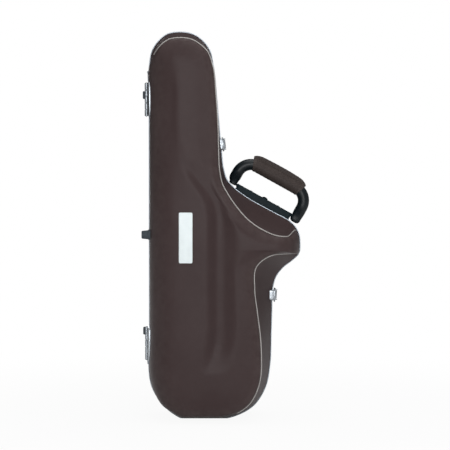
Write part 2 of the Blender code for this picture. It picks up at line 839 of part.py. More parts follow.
def seated_block(surface, place, t_range, w_range, face, steps):
    """A block whose underside follows the case with a clearance, its face at one height."""
    ts = spaced(t_range, steps[0])
    ws = spaced(w_range, steps[1])
    grids = [(line[0], line[1], line[-1]) for line in (ts, ws)]
    lower = []
    for t in ts:
        seats = [seat_near(surface, place, (t, w), grids) for w in ws]
        lower.append([place.at(t, seat + CLEARANCE, w) for seat, w in zip(seats, ws)])
    upper = [[place.at(t, face, w) for w in ws] for t in ts]
    return slab(lower, upper)


def rivet(place, t, n, w, fused=False):
    """One rivet head on a plate at height n: its own piece, or a head to be fused with the plate."""
    foot = n - RIVET_HEIGHT / 2 if fused else n + CLEARANCE
    shoulder = n + RIVET_HEIGHT / 2
    profile = ((RIVET_RADIUS, foot), (RIVET_RADIUS, shoulder), (RIVET_CROWN_RADIUS, n + RIVET_HEIGHT))
    return place.stud(t, w, profile)


# Bodies

BODIES = {}
PIVOTS = {}
MATERIALS = {}


def make_body(name, pivot, parent=None):
    """An empty on a joint axis, placed in the case frame."""
    empty = bpy.data.objects.new(f"{name}_axis", None)
    empty.empty_display_size = CASE_WIDTH * AXIS_DISPLAY_SHARE
    bpy.context.scene.collection.objects.link(empty)
    if parent:
        empty.parent = BODIES[parent]
        empty.location = Vector(pivot) - PIVOTS[parent]
    else:
        empty.location = Vector(pivot)
    BODIES[name] = empty
    PIVOTS[name] = Vector(pivot)


def spine_x():
    """The outermost place of the rim on the spine side beside the hinges."""
    return min(rim_place(share, left=True).origin.x for share in HINGE_PLACE_SHARES.values())


def hinge_place(which):
    """The place of a hinge: its origin on the hinge axis, n outwards from the spine."""
    axis_x = spine_x() - HINGE_OFFSET
    return Place((axis_x, 0.0, HINGE_PLACE_SHARES[which] * CASE_LENGTH), (0, 0, 1), (-1, 0, 0), (0, 1, 0))


def spine_place(share, depth):
    """A place on the spine wall at a height and at a signed depth across the case."""
    return Place((spine_x(), depth, share * CASE_LENGTH), (0, 0, 1), (-1, 0, 0), (0, 1, 0))


def ring_place(share):
    """The place of a D-ring's saddle on the spine wall of the base."""
    local = rim_place(share, left=True)
    return Place((local.origin.x, RING_DEPTH, local.origin.z), (0, 0, 1), (-1, 0, 0), (0, 1, 0))


def handle_place():
    """The place of the handle: t along the bar, n away from the case, w across it."""
    (x0, z0), (x1, z1) = HANDLE_LINE_SHARES
    start = Vector((x0 * CASE_WIDTH, HANDLE_DEPTH, z0 * CASE_LENGTH))
    end = Vector((x1 * CASE_WIDTH, HANDLE_DEPTH, z1 * CASE_LENGTH))
    along = (end - start).normalized()
    outward = Vector((-along.z, 0.0, along.x))
    return Place(start + along * HANDLE_SETBACK, along, outward, (0, 1, 0))


def make_shells(lid, base):
    """Both shells with their rims, seal, linings and piping."""
    for half, name in ((lid, "lid"), (base, "base")):
        make_part(f"{name}_shell", shell_solid(half), "leather", name)
        make_part(f"{name}_liner", liner_solid(half), "plush", name)
        for which, (first, last) in PIPING_RAYS.items():
            make_part(f"{name}_piping_{which}", piping_solid(half, first, last), "piping", name)
    make_part("lid_rim", rim_solid(lid, lid_rim_profile()), "aluminium", "lid")
    make_part("base_rim", rim_solid(base, base_rim_profile()), "aluminium", "base")
    make_part("rim_seal", rim_solid(base, seal_profile()), "rubber", "base")


def knuckle_ranges():
    """The height range of each knuckle, from the bottom of a hinge up."""
    pitch = HINGE_LENGTH / HINGE_KNUCKLES
    low = -HINGE_LENGTH / 2
    half_gap = HINGE_KNUCKLE_GAP / 2
    return [(low + i * pitch + half_gap, low + (i + 1) * pitch - half_gap) for i in range(HINGE_KNUCKLES)]


def make_hinges(outside):
    """Two five-knuckle hinges with their pins and rivets."""
    for which in HINGE_PLACE_SHARES:
        place = hinge_place(which)
        half_length = HINGE_LENGTH / 2
        ends = (-half_length, half_length)
        for body, side, first in (("lid", -1, 1), ("base", 1, 0)):
            span = sorted((side * HINGE_LEAF_START, side * HINGE_LEAF_END))
            root = sorted((side * HINGE_ROOT_START, side * HINGE_ROOT_END))
            root_height = (-HINGE_ROOT_REACH, -CLEARANCE)
            pieces = [seated_block(outside, place, ends, span, -HINGE_LEAF_FACE, HINGE_LEAF_STEPS)]
            for low, high in knuckle_ranges()[first::2]:
                pieces.append(place.block((low + CLEARANCE, high - CLEARANCE), root_height, root))
                pieces.append(place.sleeve((low, high), 0.0, 0.0, HINGE_BARREL_RADIUS, HINGE_BORE_RADIUS))
            make_part(f"{which}_hinge_{body}_leaf", combined(pieces), "steel", body)
            middle = side * (HINGE_LEAF_START + HINGE_LEAF_END) / 2
            for end, label in ((-1, "low"), (1, "high")):
                reach = half_length - HINGE_RIVET_INSET
                head = rivet(place, end * reach, -HINGE_LEAF_FACE, middle)
                make_part(f"{which}_hinge_{body}_rivet_{label}", head, "steel", body)
        pin = place.rod(ends, 0.0, 0.0, HINGE_PIN_RADIUS)
        make_part(f"{which}_hinge_pin", pin, "steel", "base")


def latch_place(which):
    """The place of a latch on the right side of the rim."""
    return rim_place(LATCH_PLACE_SHARES[which], left=False)


def rounded_loop(place, t_half, n, w_range, corner):
    """Points of a rectangular wire loop with cut corners, in the plane n."""
    low, high = w_range
    corners = (
        (-t_half + corner, low),
        (t_half - corner, low),
        (t_half, low + corner),
        (t_half, high - corner),
        (t_half - corner, high),
        (-t_half + corner, high),
        (-t_half, high - corner),
        (-t_half, low + corner),
    )
    return [place.at(t, n, w) for t, w in corners]


def make_latches(outside):
    """Two draw latches: plate with ears, pin, lever and bail on the base, catch on the lid."""
    for which in LATCH_PLACE_SHARES:
        place = latch_place(which)
        half_width = LATCH_WIDTH / 2
        ends = (-half_width, half_width)
        span = (LATCH_PLATE_START, LATCH_PLATE_END)
        plate = seated_block(outside, place, ends, span, LATCH_PLATE_FACE, LATCH_PLATE_STEPS)
        ear = LATCH_EAR_SPACING / 2
        ear_height = (LATCH_PLATE_FACE - LATCH_EAR_SINK, LATCH_EAR_HEIGHT)
        ear_span = (LATCH_EAR_START, LATCH_EAR_END)
        ears = []
        for side in (-1, 1):
            ear_wall = sorted((side * ear, side * (ear + LATCH_EAR_WALL)))
            ears.append(place.block(ear_wall, ear_height, ear_span))
        through = ear + LATCH_EAR_WALL
        bore_span = (-through - CUT_OVERRUN, through + CUT_OVERRUN)
        bore = place.rod(bore_span, LATCH_PIVOT_HEIGHT, LATCH_PIVOT_DEPTH, LATCH_BORE_RADIUS)
        reach = half_width - RIVET_RADIUS * RIVET_SIDE_SHARE
        depth = (BAIL_DEPTH + LATCH_PLATE_END) / 2
        heads = [rivet(place, t, LATCH_PLATE_FACE, depth, fused=True) for t in (-reach, reach)]
        solid = combined([plate] + ears + heads, [bore])
        make_part(f"{which}_latch_plate", solid, "steel", "base")
        pin = place.rod((-through, through), LATCH_PIVOT_HEIGHT, LATCH_PIVOT_DEPTH, LATCH_PIN_RADIUS)
        make_part(f"{which}_latch_pin", pin, "steel", "base")

        lever_half = ear - CLEARANCE * 2
        pivot = (LATCH_PIVOT_HEIGHT, LATCH_PIVOT_DEPTH)
        barrel = place.sleeve((-lever_half, lever_half), *pivot, LEVER_BARREL_RADIUS, LATCH_BORE_RADIUS)
        arm_low = LATCH_PIVOT_HEIGHT + CLEARANCE / 2
        arm_start = LATCH_PIVOT_DEPTH + LATCH_BORE_RADIUS + CLEARANCE
        arm_half = lever_half - CLEARANCE
        arm = place.block((-arm_half, arm_half), (arm_low, arm_low + LEVER_WALL), (arm_start, LEVER_LENGTH))
        lever = combined([barrel, arm])
        make_part(f"{which}_latch_lever", lever, "steel", f"{which}_lever")

        bail_span = (BAIL_DEPTH - BAIL_REACH, BAIL_DEPTH)
        wire = rounded_loop(place, BAIL_HALF_WIDTH, BAIL_HEIGHT, bail_span, BAIL_CORNER)
        bail = tube_solid(wire, BAIL_RADIUS, SMALL_SIDES, closed=True, facing=place.outward)
        make_part(f"{which}_latch_bail", bail, "steel", f"{which}_bail")

        catch_half = CATCH_WIDTH / 2
        catch_ends = (-catch_half, catch_half)
        catch_span = (-CATCH_END, -CATCH_START)
        catch = seated_block(outside, place, catch_ends, catch_span, CATCH_FACE, CATCH_STEPS)
        ridge_half = catch_half - CATCH_RIDGE_INSET
        ridge_foot = CATCH_RIDGE_SETBACK - CATCH_END
        ridge = place.block(
            (-ridge_half, ridge_half),
            (CATCH_FACE - CATCH_RIDGE_SINK, CATCH_RIDGE_HEIGHT),
            (ridge_foot, ridge_foot + CATCH_RIDGE_WALL),
        )
        make_part(f"{which}_latch_catch", combined([catch, ridge]), "steel", "lid")


def handle_path():
    """Points of the loop's centre line from one pivot to the other, in the handle's place."""
    radius = HANDLE_CORNER_RADIUS
    corner_n = HANDLE_REACH - HANDLE_AXIS_DROP - radius
    points = [(0.0, -HANDLE_AXIS_DROP), (0.0, HANDLE_TAPER - HANDLE_AXIS_DROP)]
    for corner_t, start in ((radius, math.pi), (HANDLE_SPAN - radius, math.pi / 2)):
        for angle in spaced((start, start - math.pi / 2), HANDLE_CORNER_STEPS):
            points.append((corner_t + radius * math.cos(angle), corner_n + radius * math.sin(angle)))
    points += [(HANDLE_SPAN, HANDLE_TAPER - HANDLE_AXIS_DROP), (HANDLE_SPAN, -HANDLE_AXIS_DROP)]
    return points


def make_handle(outside):
    """The folding handle: its mount on the base, the loop and the leather wrap."""
    place = handle_place()
    gap = HANDLE_TUBE_RADIUS + HANDLE_BAR_END_GAP
    bar_range = (gap, HANDLE_SPAN - gap)
    half_bar = HANDLE_BAR_WIDTH / 2
    bar = seated_block(outside, place, bar_range, (-half_bar, half_bar), 0.0, HANDLE_BAR_STEPS)
    pieces = [bar]
    cutters = []
    for end, side in ((bar_range[0], -1), (bar_range[1], 1)):
        inner = end - side * HANDLE_STUB_ROOT
        outer = end + side * HANDLE_STUB_REACH
        pieces.append(place.rod(sorted((inner, outer)), -HANDLE_AXIS_DROP, 0.0, HANDLE_STUB_RADIUS))
        cut = sorted((inner, outer + side * CLEARANCE))
        cutters.append(place.rod(cut, -HANDLE_AXIS_DROP, 0.0, HANDLE_STUB_RADIUS + CLEARANCE))
    make_part("handle_mount", combined(pieces), "handle", "base")

    path = handle_path()
    points = [place.at(t, n, 0.0) for t, n in path]
    tip = place.outward * HANDLE_TIP_DROP
    points = [points[0] - tip] + points + [points[-1] - tip]
    ends = [
        (HANDLE_TIP_HALF_WALL / 2, HANDLE_TIP_HALF_WIDTH / 2),
        (HANDLE_TIP_HALF_WALL, HANDLE_TIP_HALF_WIDTH),
    ]
    middle = [(HANDLE_TUBE_RADIUS, HANDLE_TUBE_RADIUS)] * (len(points) - len(ends) * 2)
    radii = ends + middle + ends[::-1]
    loop = Solid()
    loop.loft(tube_rings(points, radii, ROUND_SIDES, facing=place.across))
    make_part("handle_loop", combined([loop], cutters), "handle", "handle")

    make_part("handle_wrap", wrap_solid(place), "wrap", "handle")
    for label, share in SCREW_PLACE_SHARES.items():
        t = bar_range[0] + (bar_range[1] - bar_range[0]) * share
        make_part(f"handle_mount_screw_{label}", rivet(place, t, 0.0, 0.0), "steel", "base")


def wrap_solid(place):
    """The stitched leather sleeve round the grip, with its seam allowance along the outer side."""
    radius = HANDLE_CORNER_RADIUS
    corner_n = HANDLE_REACH - HANDLE_AXIS_DROP - radius
    near, far = radius, HANDLE_SPAN - radius
    stations = []
    for t_share, angle_share, flange_share in WRAP_STATION_SHARES:
        stations.append((near + (far - near) * t_share, WRAP_END_ANGLE * angle_share, flange_share))
    inner_radius = (HANDLE_TUBE_RADIUS + CLEARANCE) / math.cos(math.pi / ROUND_SIDES)
    outer_radius = inner_radius + WRAP_WALL
    solid = Solid()
    outer_rows, inner_rows = [], []
    for corner_t, angle, flange_share in stations:
        up = place.outward * math.cos(angle) + place.along * math.sin(angle)
        middle = place.at(corner_t, corner_n, 0.0) + up * radius
        inner, outer = [], []
        for step in range(ROUND_SIDES):
            turn = math.tau * step / ROUND_SIDES
            rise, side = math.cos(turn), math.sin(turn)
            flange = WRAP_FLANGE * flange_share if step == 0 else WRAP_FILLET * max(rise, 0.0)
            inner.append(middle + (up * rise + place.across * side) * inner_radius)
            outer.append(middle + up * (outer_radius * rise + flange) + place.across * outer_radius * side)
        outer_rows.append(solid.add(outer))
        inner_rows.append(solid.add(inner))
    for rows in (outer_rows, inner_rows):
        for lower, upper in zip(rows, rows[1:]):
            solid.band(lower, upper)
    for index in (0, -1):
        solid.band(outer_rows[index], inner_rows[index])
    return solid


def make_rings(outside):
    """Two D-rings on saddles riveted to the spine wall of the base."""
    for which, share in RING_PLACE_SHARES.items():
        place = ring_place(share)
        half_length = SADDLE_LENGTH / 2
        half_width = SADDLE_WIDTH / 2
        ends = (-half_length, half_length)
        width = (-half_width, half_width)
        plate = seated_block(outside, place, ends, width, SADDLE_FACE, SADDLE_STEPS)
        barrel_place = Place(place.at(-half_length, 0.0, 0.0), place.across, place.outward, place.along)
        half_barrel = SADDLE_BARREL_LENGTH / 2
        barrel_ends = (-half_barrel, half_barrel)
        barrel = barrel_place.rod(barrel_ends, SADDLE_BARREL_HEIGHT, 0.0, SADDLE_BARREL_RADIUS)
        bore = barrel_place.rod(width, SADDLE_BARREL_HEIGHT, 0.0, SADDLE_BORE_RADIUS)
        rivet_t = half_length - RIVET_RADIUS * RIVET_END_SHARE
        rivet_w = half_width - RIVET_RADIUS * RIVET_SIDE_SHARE
        heads = [rivet(place, rivet_t, SADDLE_FACE, w, fused=True) for w in (-rivet_w, rivet_w)]
        saddle = combined([plate, barrel] + heads, [bore])
        make_part(f"{which}_ring_saddle", saddle, "steel", "base")
        make_part(f"{which}_d_ring", ring_solid(place), "steel", f"{which}_ring")


def ring_solid(place):
    """A D-shaped wire ring hanging from its saddle."""
    half = RING_WIDTH / 2
    top = -SADDLE_LENGTH / 2
    points = [place.at(top, SADDLE_BARREL_HEIGHT, -half), place.at(top, SADDLE_BARREL_HEIGHT, half)]
    for angle in spaced((0.0, math.pi), RING_STEPS):
        drop = top - RING_SHOULDER - (RING_DROP - RING_SHOULDER) * math.sin(angle)
        points.append(place.at(drop, SADDLE_BARREL_HEIGHT, half * math.cos(angle)))
    return tube_solid(points, RING_WIRE_RADIUS, SMALL_SIDES, closed=True, facing=place.outward)


def foot_solid(outside, share, depth):
    """A tapered foot on the spine wall, seated on the wall and flat at its end."""
    place = spine_place(share, depth)
    places = [FOOT_BASE_RADIUS * share for share in PROBE_SHARES]
    probes = [seat_height(outside, place, t, w) for t in places for w in places]
    seat = max(height for height in probes if height is not None) + CLEARANCE
    profile = ((FOOT_BASE_RADIUS, seat), (FOOT_BASE_RADIUS, seat + FOOT_SKIRT), (FOOT_END_RADIUS, FOOT_REACH))
    return place.stud(0.0, 0.0, profile, ROUND_SIDES)


def make_feet(outside):
    """Three feet on which the case is set down on its spine."""
    for which, share in FOOT_PLACE_SHARES.items():
        body, depth = ("lid", -FOOT_DEPTH) if which == "middle" else ("base", FOOT_DEPTH)
        make_part(f"spine_foot_{which}", foot_solid(outside, share, depth), "rubber", body)


def make_plate(outside):
    """The bare name plate, bent to the face of the lid."""
    x_mid = sum(PLATE_X_SHARES) / 2 * CASE_WIDTH
    z_mid = sum(PLATE_Z_SHARES) / 2 * CASE_LENGTH
    half_width = (PLATE_X_SHARES[1] - PLATE_X_SHARES[0]) / 2 * CASE_WIDTH
    half_height = (PLATE_Z_SHARES[1] - PLATE_Z_SHARES[0]) / 2 * CASE_LENGTH
    place = Place((x_mid, -LID_DEPTH, z_mid), (0, 0, 1), (0, -1, 0), (1, 0, 0))
    t_steps, w_steps = PLATE_STEPS
    lower, upper = [], []
    for t in spaced((-half_height, half_height), t_steps):
        seats = [(w, seat_height(outside, place, t, w)) for w in spaced((-half_width, half_width), w_steps)]
        lower.append([place.at(t, n + PLATE_GAP, w) for w, n in seats])
        upper.append([place.at(t, n + PLATE_GAP + PLATE_WALL, w) for w, n in seats])
    make_part("name_plate", slab(lower, upper), "plate", "lid")


def make_blocks(base):
    """Foam blocks in the base that hold the instrument at its neck end and its bow."""
    floor = surface_of([liner_solid(base)])
    for which, (x, z) in BLOCK_PLACE_SHARES.items():
        half_width = BLOCK_WIDTH_SHARES[which] * CASE_WIDTH / 2
        origin = (x * CASE_WIDTH, BLOCK_FACE_DEPTH, z * CASE_LENGTH)
        place = Place(origin, (0, 0, 1), (0, -1, 0), (1, 0, 0))
        half_length = BLOCK_LENGTH / 2
        ends = (-half_length, half_length)
        block = seated_block(floor, place, ends, (-half_width, half_width), 0.0, BLOCK_STEPS)
        span = (-half_length - CUT_OVERRUN, half_length + CUT_OVERRUN)
        notch = place.rod(span, 0.0, 0.0, BLOCK_NOTCH_RADIUS[which])
        make_part(f"{which}_block", combined([block], [notch]), "plush", "base")


def stand_on_origin(frame):
    """Moves the case so that the origin is the middle of the bottom of everything on it."""
    bpy.context.view_layer.update()
    corners = [part.matrix_world @ v.co for part in PARTS.values() for v in part.data.vertices]
    low = [min(c[i] for c in corners) for i in range(3)]
    high = [max(c[i] for c in corners) for i in range(3)]
    frame.location -= Vector(((low[0] + high[0]) / 2, (low[1] + high[1]) / 2, low[2]))
    bpy.context.view_layer.update()


def print_places():
    """Prints each joint axis in world metres."""
    for name, empty in BODIES.items():
        print("joint place", name, [round(x, 5) for x in empty.matrix_world.translation])
    for which in LATCH_PLACE_SHARES:
        print("latch axis", which, [round(x, 5) for x in -latch_place(which).along])
    print("handle axis", [round(x, 5) for x in handle_place().along])
    for name, part in PARTS.items():
        corners = [part.matrix_world @ v.co for v in part.data.vertices]
        low = [round(min(c[i] for c in corners), 4) for i in range(3)]
        high = [round(max(c[i] for c in corners), 4) for i in range(3)]
        print("box", name, low, high, len(part.data.polygons))


def build():
    """Builds the whole case."""
    clear_scene()
    for name, values in FINISHES.items():
        MATERIALS[name] = make_material(name, *values)
    lid = Half(-1, LID_DEPTH, LID_DEPTH_SHARES, LID_CROWN, VALLEY_DEPTH)
    base = Half(1, BASE_DEPTH, BASE_DEPTH_SHARES, BASE_CROWN, 0.0)
    rims = [rim_solid(lid, lid_rim_profile()), rim_solid(base, base_rim_profile())]
    outside = surface_of([shell_solid(lid), shell_solid(base)] + rims)
    make_body("base", (0, 0, 0))
    make_body("lid", hinge_place("upper").origin, "base")
    handle = handle_place()
    make_body("handle", handle.at(HANDLE_SPAN / 2, -HANDLE_AXIS_DROP, 0.0), "base")
    for which in LATCH_PLACE_SHARES:
        place = latch_place(which)
        make_body(f"{which}_lever", place.at(0.0, LATCH_PIVOT_HEIGHT, LATCH_PIVOT_DEPTH), "base")
        make_body(f"{which}_bail", place.at(0.0, BAIL_HEIGHT, BAIL_DEPTH), f"{which}_lever")
    for which, share in RING_PLACE_SHARES.items():
        place = ring_place(share)
        make_body(f"{which}_ring", place.at(-SADDLE_LENGTH / 2, SADDLE_BARREL_HEIGHT, 0.0), "base")
    make_shells(lid, base)
    make_hinges(outside)
    make_latches(outside)
    make_handle(outside)
    make_rings(outside)
    make_feet(outside)
    make_plate(outside)
    make_blocks(base)
    stand_on_origin(BODIES["base"])
    print_places()


build()
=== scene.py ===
"""The looks of an alto saxophone case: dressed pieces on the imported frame, stage and camera.

Everything is laid out in the case frame of the solids: X starts at the spine side, Z at the floor
and Y is zero on the parting plane, with the lid at -Y. Finished meshes are moved to the row frame.
"""

from __future__ import annotations

import json
import logging
import math
from collections.abc import Sequence
from dataclasses import dataclass
from enum import Enum

import bmesh
import bpy
import numpy as np
from bpy.types import Material, Mesh, Node, NodeSocket, NodeTree, Object
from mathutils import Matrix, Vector, noise
from mathutils.bvhtree import BVHTree

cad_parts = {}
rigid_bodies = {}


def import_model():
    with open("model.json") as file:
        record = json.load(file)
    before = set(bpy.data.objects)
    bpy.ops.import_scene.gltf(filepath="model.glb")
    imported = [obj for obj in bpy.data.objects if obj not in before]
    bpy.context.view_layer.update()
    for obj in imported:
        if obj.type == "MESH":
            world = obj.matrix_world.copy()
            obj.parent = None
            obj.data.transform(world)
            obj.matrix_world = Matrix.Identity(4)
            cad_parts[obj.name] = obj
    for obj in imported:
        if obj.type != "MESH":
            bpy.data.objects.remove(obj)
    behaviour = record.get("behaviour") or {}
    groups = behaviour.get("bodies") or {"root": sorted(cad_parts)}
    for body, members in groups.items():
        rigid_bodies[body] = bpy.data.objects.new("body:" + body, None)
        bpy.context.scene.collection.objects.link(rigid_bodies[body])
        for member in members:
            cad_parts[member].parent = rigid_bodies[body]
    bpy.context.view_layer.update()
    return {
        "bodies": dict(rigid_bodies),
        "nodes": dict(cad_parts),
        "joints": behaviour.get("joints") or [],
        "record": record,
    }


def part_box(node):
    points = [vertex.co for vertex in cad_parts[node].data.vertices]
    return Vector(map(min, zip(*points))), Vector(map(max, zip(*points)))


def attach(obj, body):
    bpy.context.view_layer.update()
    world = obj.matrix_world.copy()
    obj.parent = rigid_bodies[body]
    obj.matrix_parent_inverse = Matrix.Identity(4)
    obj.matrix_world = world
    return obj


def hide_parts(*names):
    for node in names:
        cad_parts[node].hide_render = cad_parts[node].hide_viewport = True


LOG = logging.getLogger("case")
SHARP_ANGLE = math.radians(38)

Pair = tuple[float, float]
Colour = tuple[float, float, float]
Table = tuple[tuple[float, ...], ...]
Array = np.ndarray
Value = float | int | str | tuple | NodeSocket | Material

# Outline of the right side from the crown to the floor, each row as shares of the case width and
# length: rim x, rim z, seam x, seam z, face edge x, face edge z, and the seam's share of the depth
RIGHT_ROW_SHARES = (
    (0.212, 1.000, 0.212, 0.981, 0.212, 0.958, 0.86),
    (0.298, 0.994, 0.288, 0.977, 0.275, 0.955, 0.86),
    (0.364, 0.976, 0.349, 0.963, 0.321, 0.944, 0.86),
    (0.407, 0.952, 0.395, 0.944, 0.354, 0.930, 0.86),
    (0.426, 0.919, 0.421, 0.917, 0.367, 0.912, 0.86),
    (0.449, 0.836, 0.446, 0.836, 0.389, 0.836, 0.86),
    (0.467, 0.756, 0.459, 0.755, 0.401, 0.753, 0.86),
    (0.482, 0.696, 0.463, 0.694, 0.405, 0.691, 0.86),
    (0.496, 0.647, 0.470, 0.643, 0.414, 0.638, 0.86),
    (0.523, 0.617, 0.490, 0.609, 0.436, 0.599, 0.86),
    (0.562, 0.600, 0.520, 0.587, 0.467, 0.574, 0.86),
    (0.638, 0.577, 0.577, 0.554, 0.529, 0.538, 0.86),
    (0.741, 0.553, 0.659, 0.518, 0.620, 0.499, 0.86),
    (0.847, 0.531, 0.758, 0.492, 0.727, 0.472, 0.86),
    (0.926, 0.514, 0.837, 0.4795, 0.807, 0.461, 0.86),
    (0.963, 0.501, 0.908, 0.4765, 0.857, 0.456, 0.78),
    (0.983, 0.489, 0.966, 0.490, 0.876, 0.451, 0.26),
    (1.000, 0.460, 0.996, 0.460, 0.885, 0.447, 0.14),
    (0.992, 0.429, 0.988, 0.430, 0.880, 0.442, 0.14),
    (0.949, 0.412, 0.916, 0.432, 0.853, 0.443, 0.50),
    (0.890, 0.394, 0.810, 0.4305, 0.770, 0.442, 0.86),
    (0.840, 0.368, 0.708, 0.401, 0.656, 0.413, 0.86),
    (0.822, 0.344, 0.696, 0.347, 0.639, 0.351, 0.86),
    (0.815, 0.281, 0.715, 0.281, 0.658, 0.281, 0.86),
    (0.810, 0.217, 0.735, 0.217, 0.678, 0.217, 0.86),
    (0.804, 0.147, 0.741, 0.148, 0.683, 0.152, 0.86),
    (0.771, 0.080, 0.714, 0.086, 0.659, 0.099, 0.86),
    (0.695, 0.034, 0.661, 0.049, 0.619, 0.067, 0.84),
    (0.599, 0.011, 0.585, 0.027, 0.557, 0.049, 0.80),
    (0.483, 0.000, 0.481, 0.016, 0.470, 0.042, 0.75),
    (0.351, 0.000, 0.352, 0.015, 0.364, 0.041, 0.75),
)
# The same for the left side: rows beside the crown, one straight spine row, rows near the floor
LEFT_CROWN_SHARES = (
    (0.130, 0.995, 0.140, 0.976, 0.158, 0.954, 0.86),
    (0.067, 0.976, 0.088, 0.961, 0.128, 0.941, 0.84),
    (0.026, 0.950, 0.046, 0.940, 0.122, 0.922, 0.60),
    (0.011, 0.919, 0.014, 0.919, 0.133, 0.906, 0.22),
)
SPINE_ROW_SHARES = (0.008, 0.011, 0.159, 0.20)
LEFT_FLOOR_SHARES = (
    (0.003, 0.147, 0.006, 0.147, 0.159, 0.149, 0.20),
    (0.026, 0.080, 0.030, 0.082, 0.166, 0.100, 0.26),
    (0.095, 0.037, 0.100, 0.039, 0.206, 0.070, 0.50),
    (0.163, 0.013, 0.169, 0.024, 0.241, 0.054, 0.66),
    (0.236, 0.000, 0.238, 0.014, 0.268, 0.041, 0.75),
)
# Line in which both sides meet on the face: it runs down the valley between body and bell
CENTRE_SHARES = (
    (0.219, 0.914), (0.219, 0.836), (0.225, 0.756), (0.258, 0.696), (0.311, 0.647), (0.364, 0.615),
    (0.410, 0.590), (0.450, 0.563), (0.467, 0.535), (0.471, 0.505), (0.471, 0.478), (0.471, 0.466),
    (0.471, 0.459), (0.471, 0.452), (0.471, 0.447), (0.471, 0.442), (0.471, 0.425), (0.471, 0.395),
    (0.471, 0.350), (0.471, 0.281), (0.466, 0.217), (0.427, 0.147), (0.397, 0.102),
)
FIRST_CENTRE_ROW = 4
# Depth of each shell along the case, as shares of its greatest depth at shares of the length
LID_DEPTH_SHARES = (
    (0.0, 0.92), (0.1, 0.97), (0.25, 1.0), (0.45, 1.0), (0.6, 0.93), (0.75, 0.84), (1.0, 0.76),
)
BASE_DEPTH_SHARES = ((0.0, 0.97), (0.1, 1.0), (0.45, 1.0), (0.6, 0.95), (0.8, 0.87), (1.0, 0.82))
VALLEY_FADE_SHARES = ((0.13, 0.0), (0.185, 0.65), (0.24, 1.0), (0.50, 1.0), (0.58, 0.75), (0.68, 0.0))
# First and last row of each run of the seam that is piped
PIPED_ROWS = {"upper": (57, 76), "lower": (18, 28)}
# Steps of the inner skins: shares of the rounding, and of the way from the face's edge to the centre
BACK_ARCS = (0.0, 0.25, 0.5, 0.75, 1.0)
BACK_REACHES = (0.25, 0.5, 0.75)
# Places along the case, as shares of its length
HINGE_PLACE_SHARES = {"upper": 0.827, "lower": 0.1945}
LATCH_PLACE_SHARES = {"upper": 0.711, "lower": 0.322}
RING_PLACE_SHARES = {"upper": 0.908, "lower": 0.170}
FOOT_PLACE_SHARES = {"upper": 0.840, "middle": 0.479, "lower": 0.223}
# Stations of the handle's wrap: share of the grip, share of the end angle, share of the flange
WRAP_STATION_SHARES = (
    (0.0, -1.0, 0.55),
    (0.0, -0.5, 0.75),
    (0.0, 0.0, 0.90),
    (0.35, 0.0, 1.0),
    (0.70, 0.0, 1.0),
    (1.0, 0.0, 0.85),
    (1.0, 0.5, 0.65),
    (1.0, 1.0, 0.35),
)
# Ends of the handle's mount line, as shares of the width and length
HANDLE_LINE_SHARES = ((0.549, 0.6185), (0.9617, 0.5284))


def srgb(red: float, green: float, blue: float) -> tuple[float, float, float, float]:
    """A colour from sRGB channels of 0 to 255, as linear values with full alpha."""
    shares = (red / 255, green / 255, blue / 255)
    return (*(s / 12.92 if s <= 0.04045 else ((s + 0.055) / 1.055) ** 2.4 for s in shares), 1.0)


class Wiring:
    """A node tree being wired: adds nodes with their inputs set or linked."""

    def __init__(self, tree: NodeTree) -> None:
        """Takes the tree that is wired."""
        self.tree = tree

    def node(self, kind: str, inputs: dict[str | int, Value] | None = None, **settings: Value) -> Node:
        """Adds one node.

        Args:
            kind: Blender's name of the node type.
            inputs: Value or source socket of each input, by its name or number.
            settings: Properties of the node.

        Returns:
            The new node.
        """
        made = self.tree.nodes.new(kind)
        for name, value in settings.items():
            setattr(made, name, value)
        for key, value in (inputs or {}).items():
            self.feed(made.inputs[key], value)
        return made

    def feed(self, socket: NodeSocket, value: Value) -> None:
        """Links a socket to a source, or sets it to a value."""
        if isinstance(value, NodeSocket):
            self.tree.links.new(value, socket)
        else:
            socket.default_value = value

    def out(self, kind: str, inputs: dict[str | int, Value] | None = None, **settings: Value) -> NodeSocket:
        """The first output of one added node."""
        return self.node(kind, inputs, **settings).outputs[0]

    def calc(self, operation: str, *values: Value, clamp: bool = False) -> NodeSocket:
        """The result of one sum on values or sockets."""
        return self.out("ShaderNodeMath", dict(enumerate(values)), operation=operation, use_clamp=clamp)

    def fade(self, factor: NodeSocket, first: Pair, last: Pair, way: str = "SMOOTHSTEP") -> NodeSocket:
        """A factor mapped between two places, each given as its value before and after."""
        inputs = {0: factor, 1: first[0], 2: last[0], 3: first[1], 4: last[1]}
        return self.out("ShaderNodeMapRange", inputs, interpolation_type=way)

    def vector(self, x: Value = 0.0, y: Value = 0.0, z: Value = 0.0) -> NodeSocket:
        """A vector of three values or sockets."""
        return self.out("ShaderNodeCombineXYZ", {0: x, 1: y, 2: z})


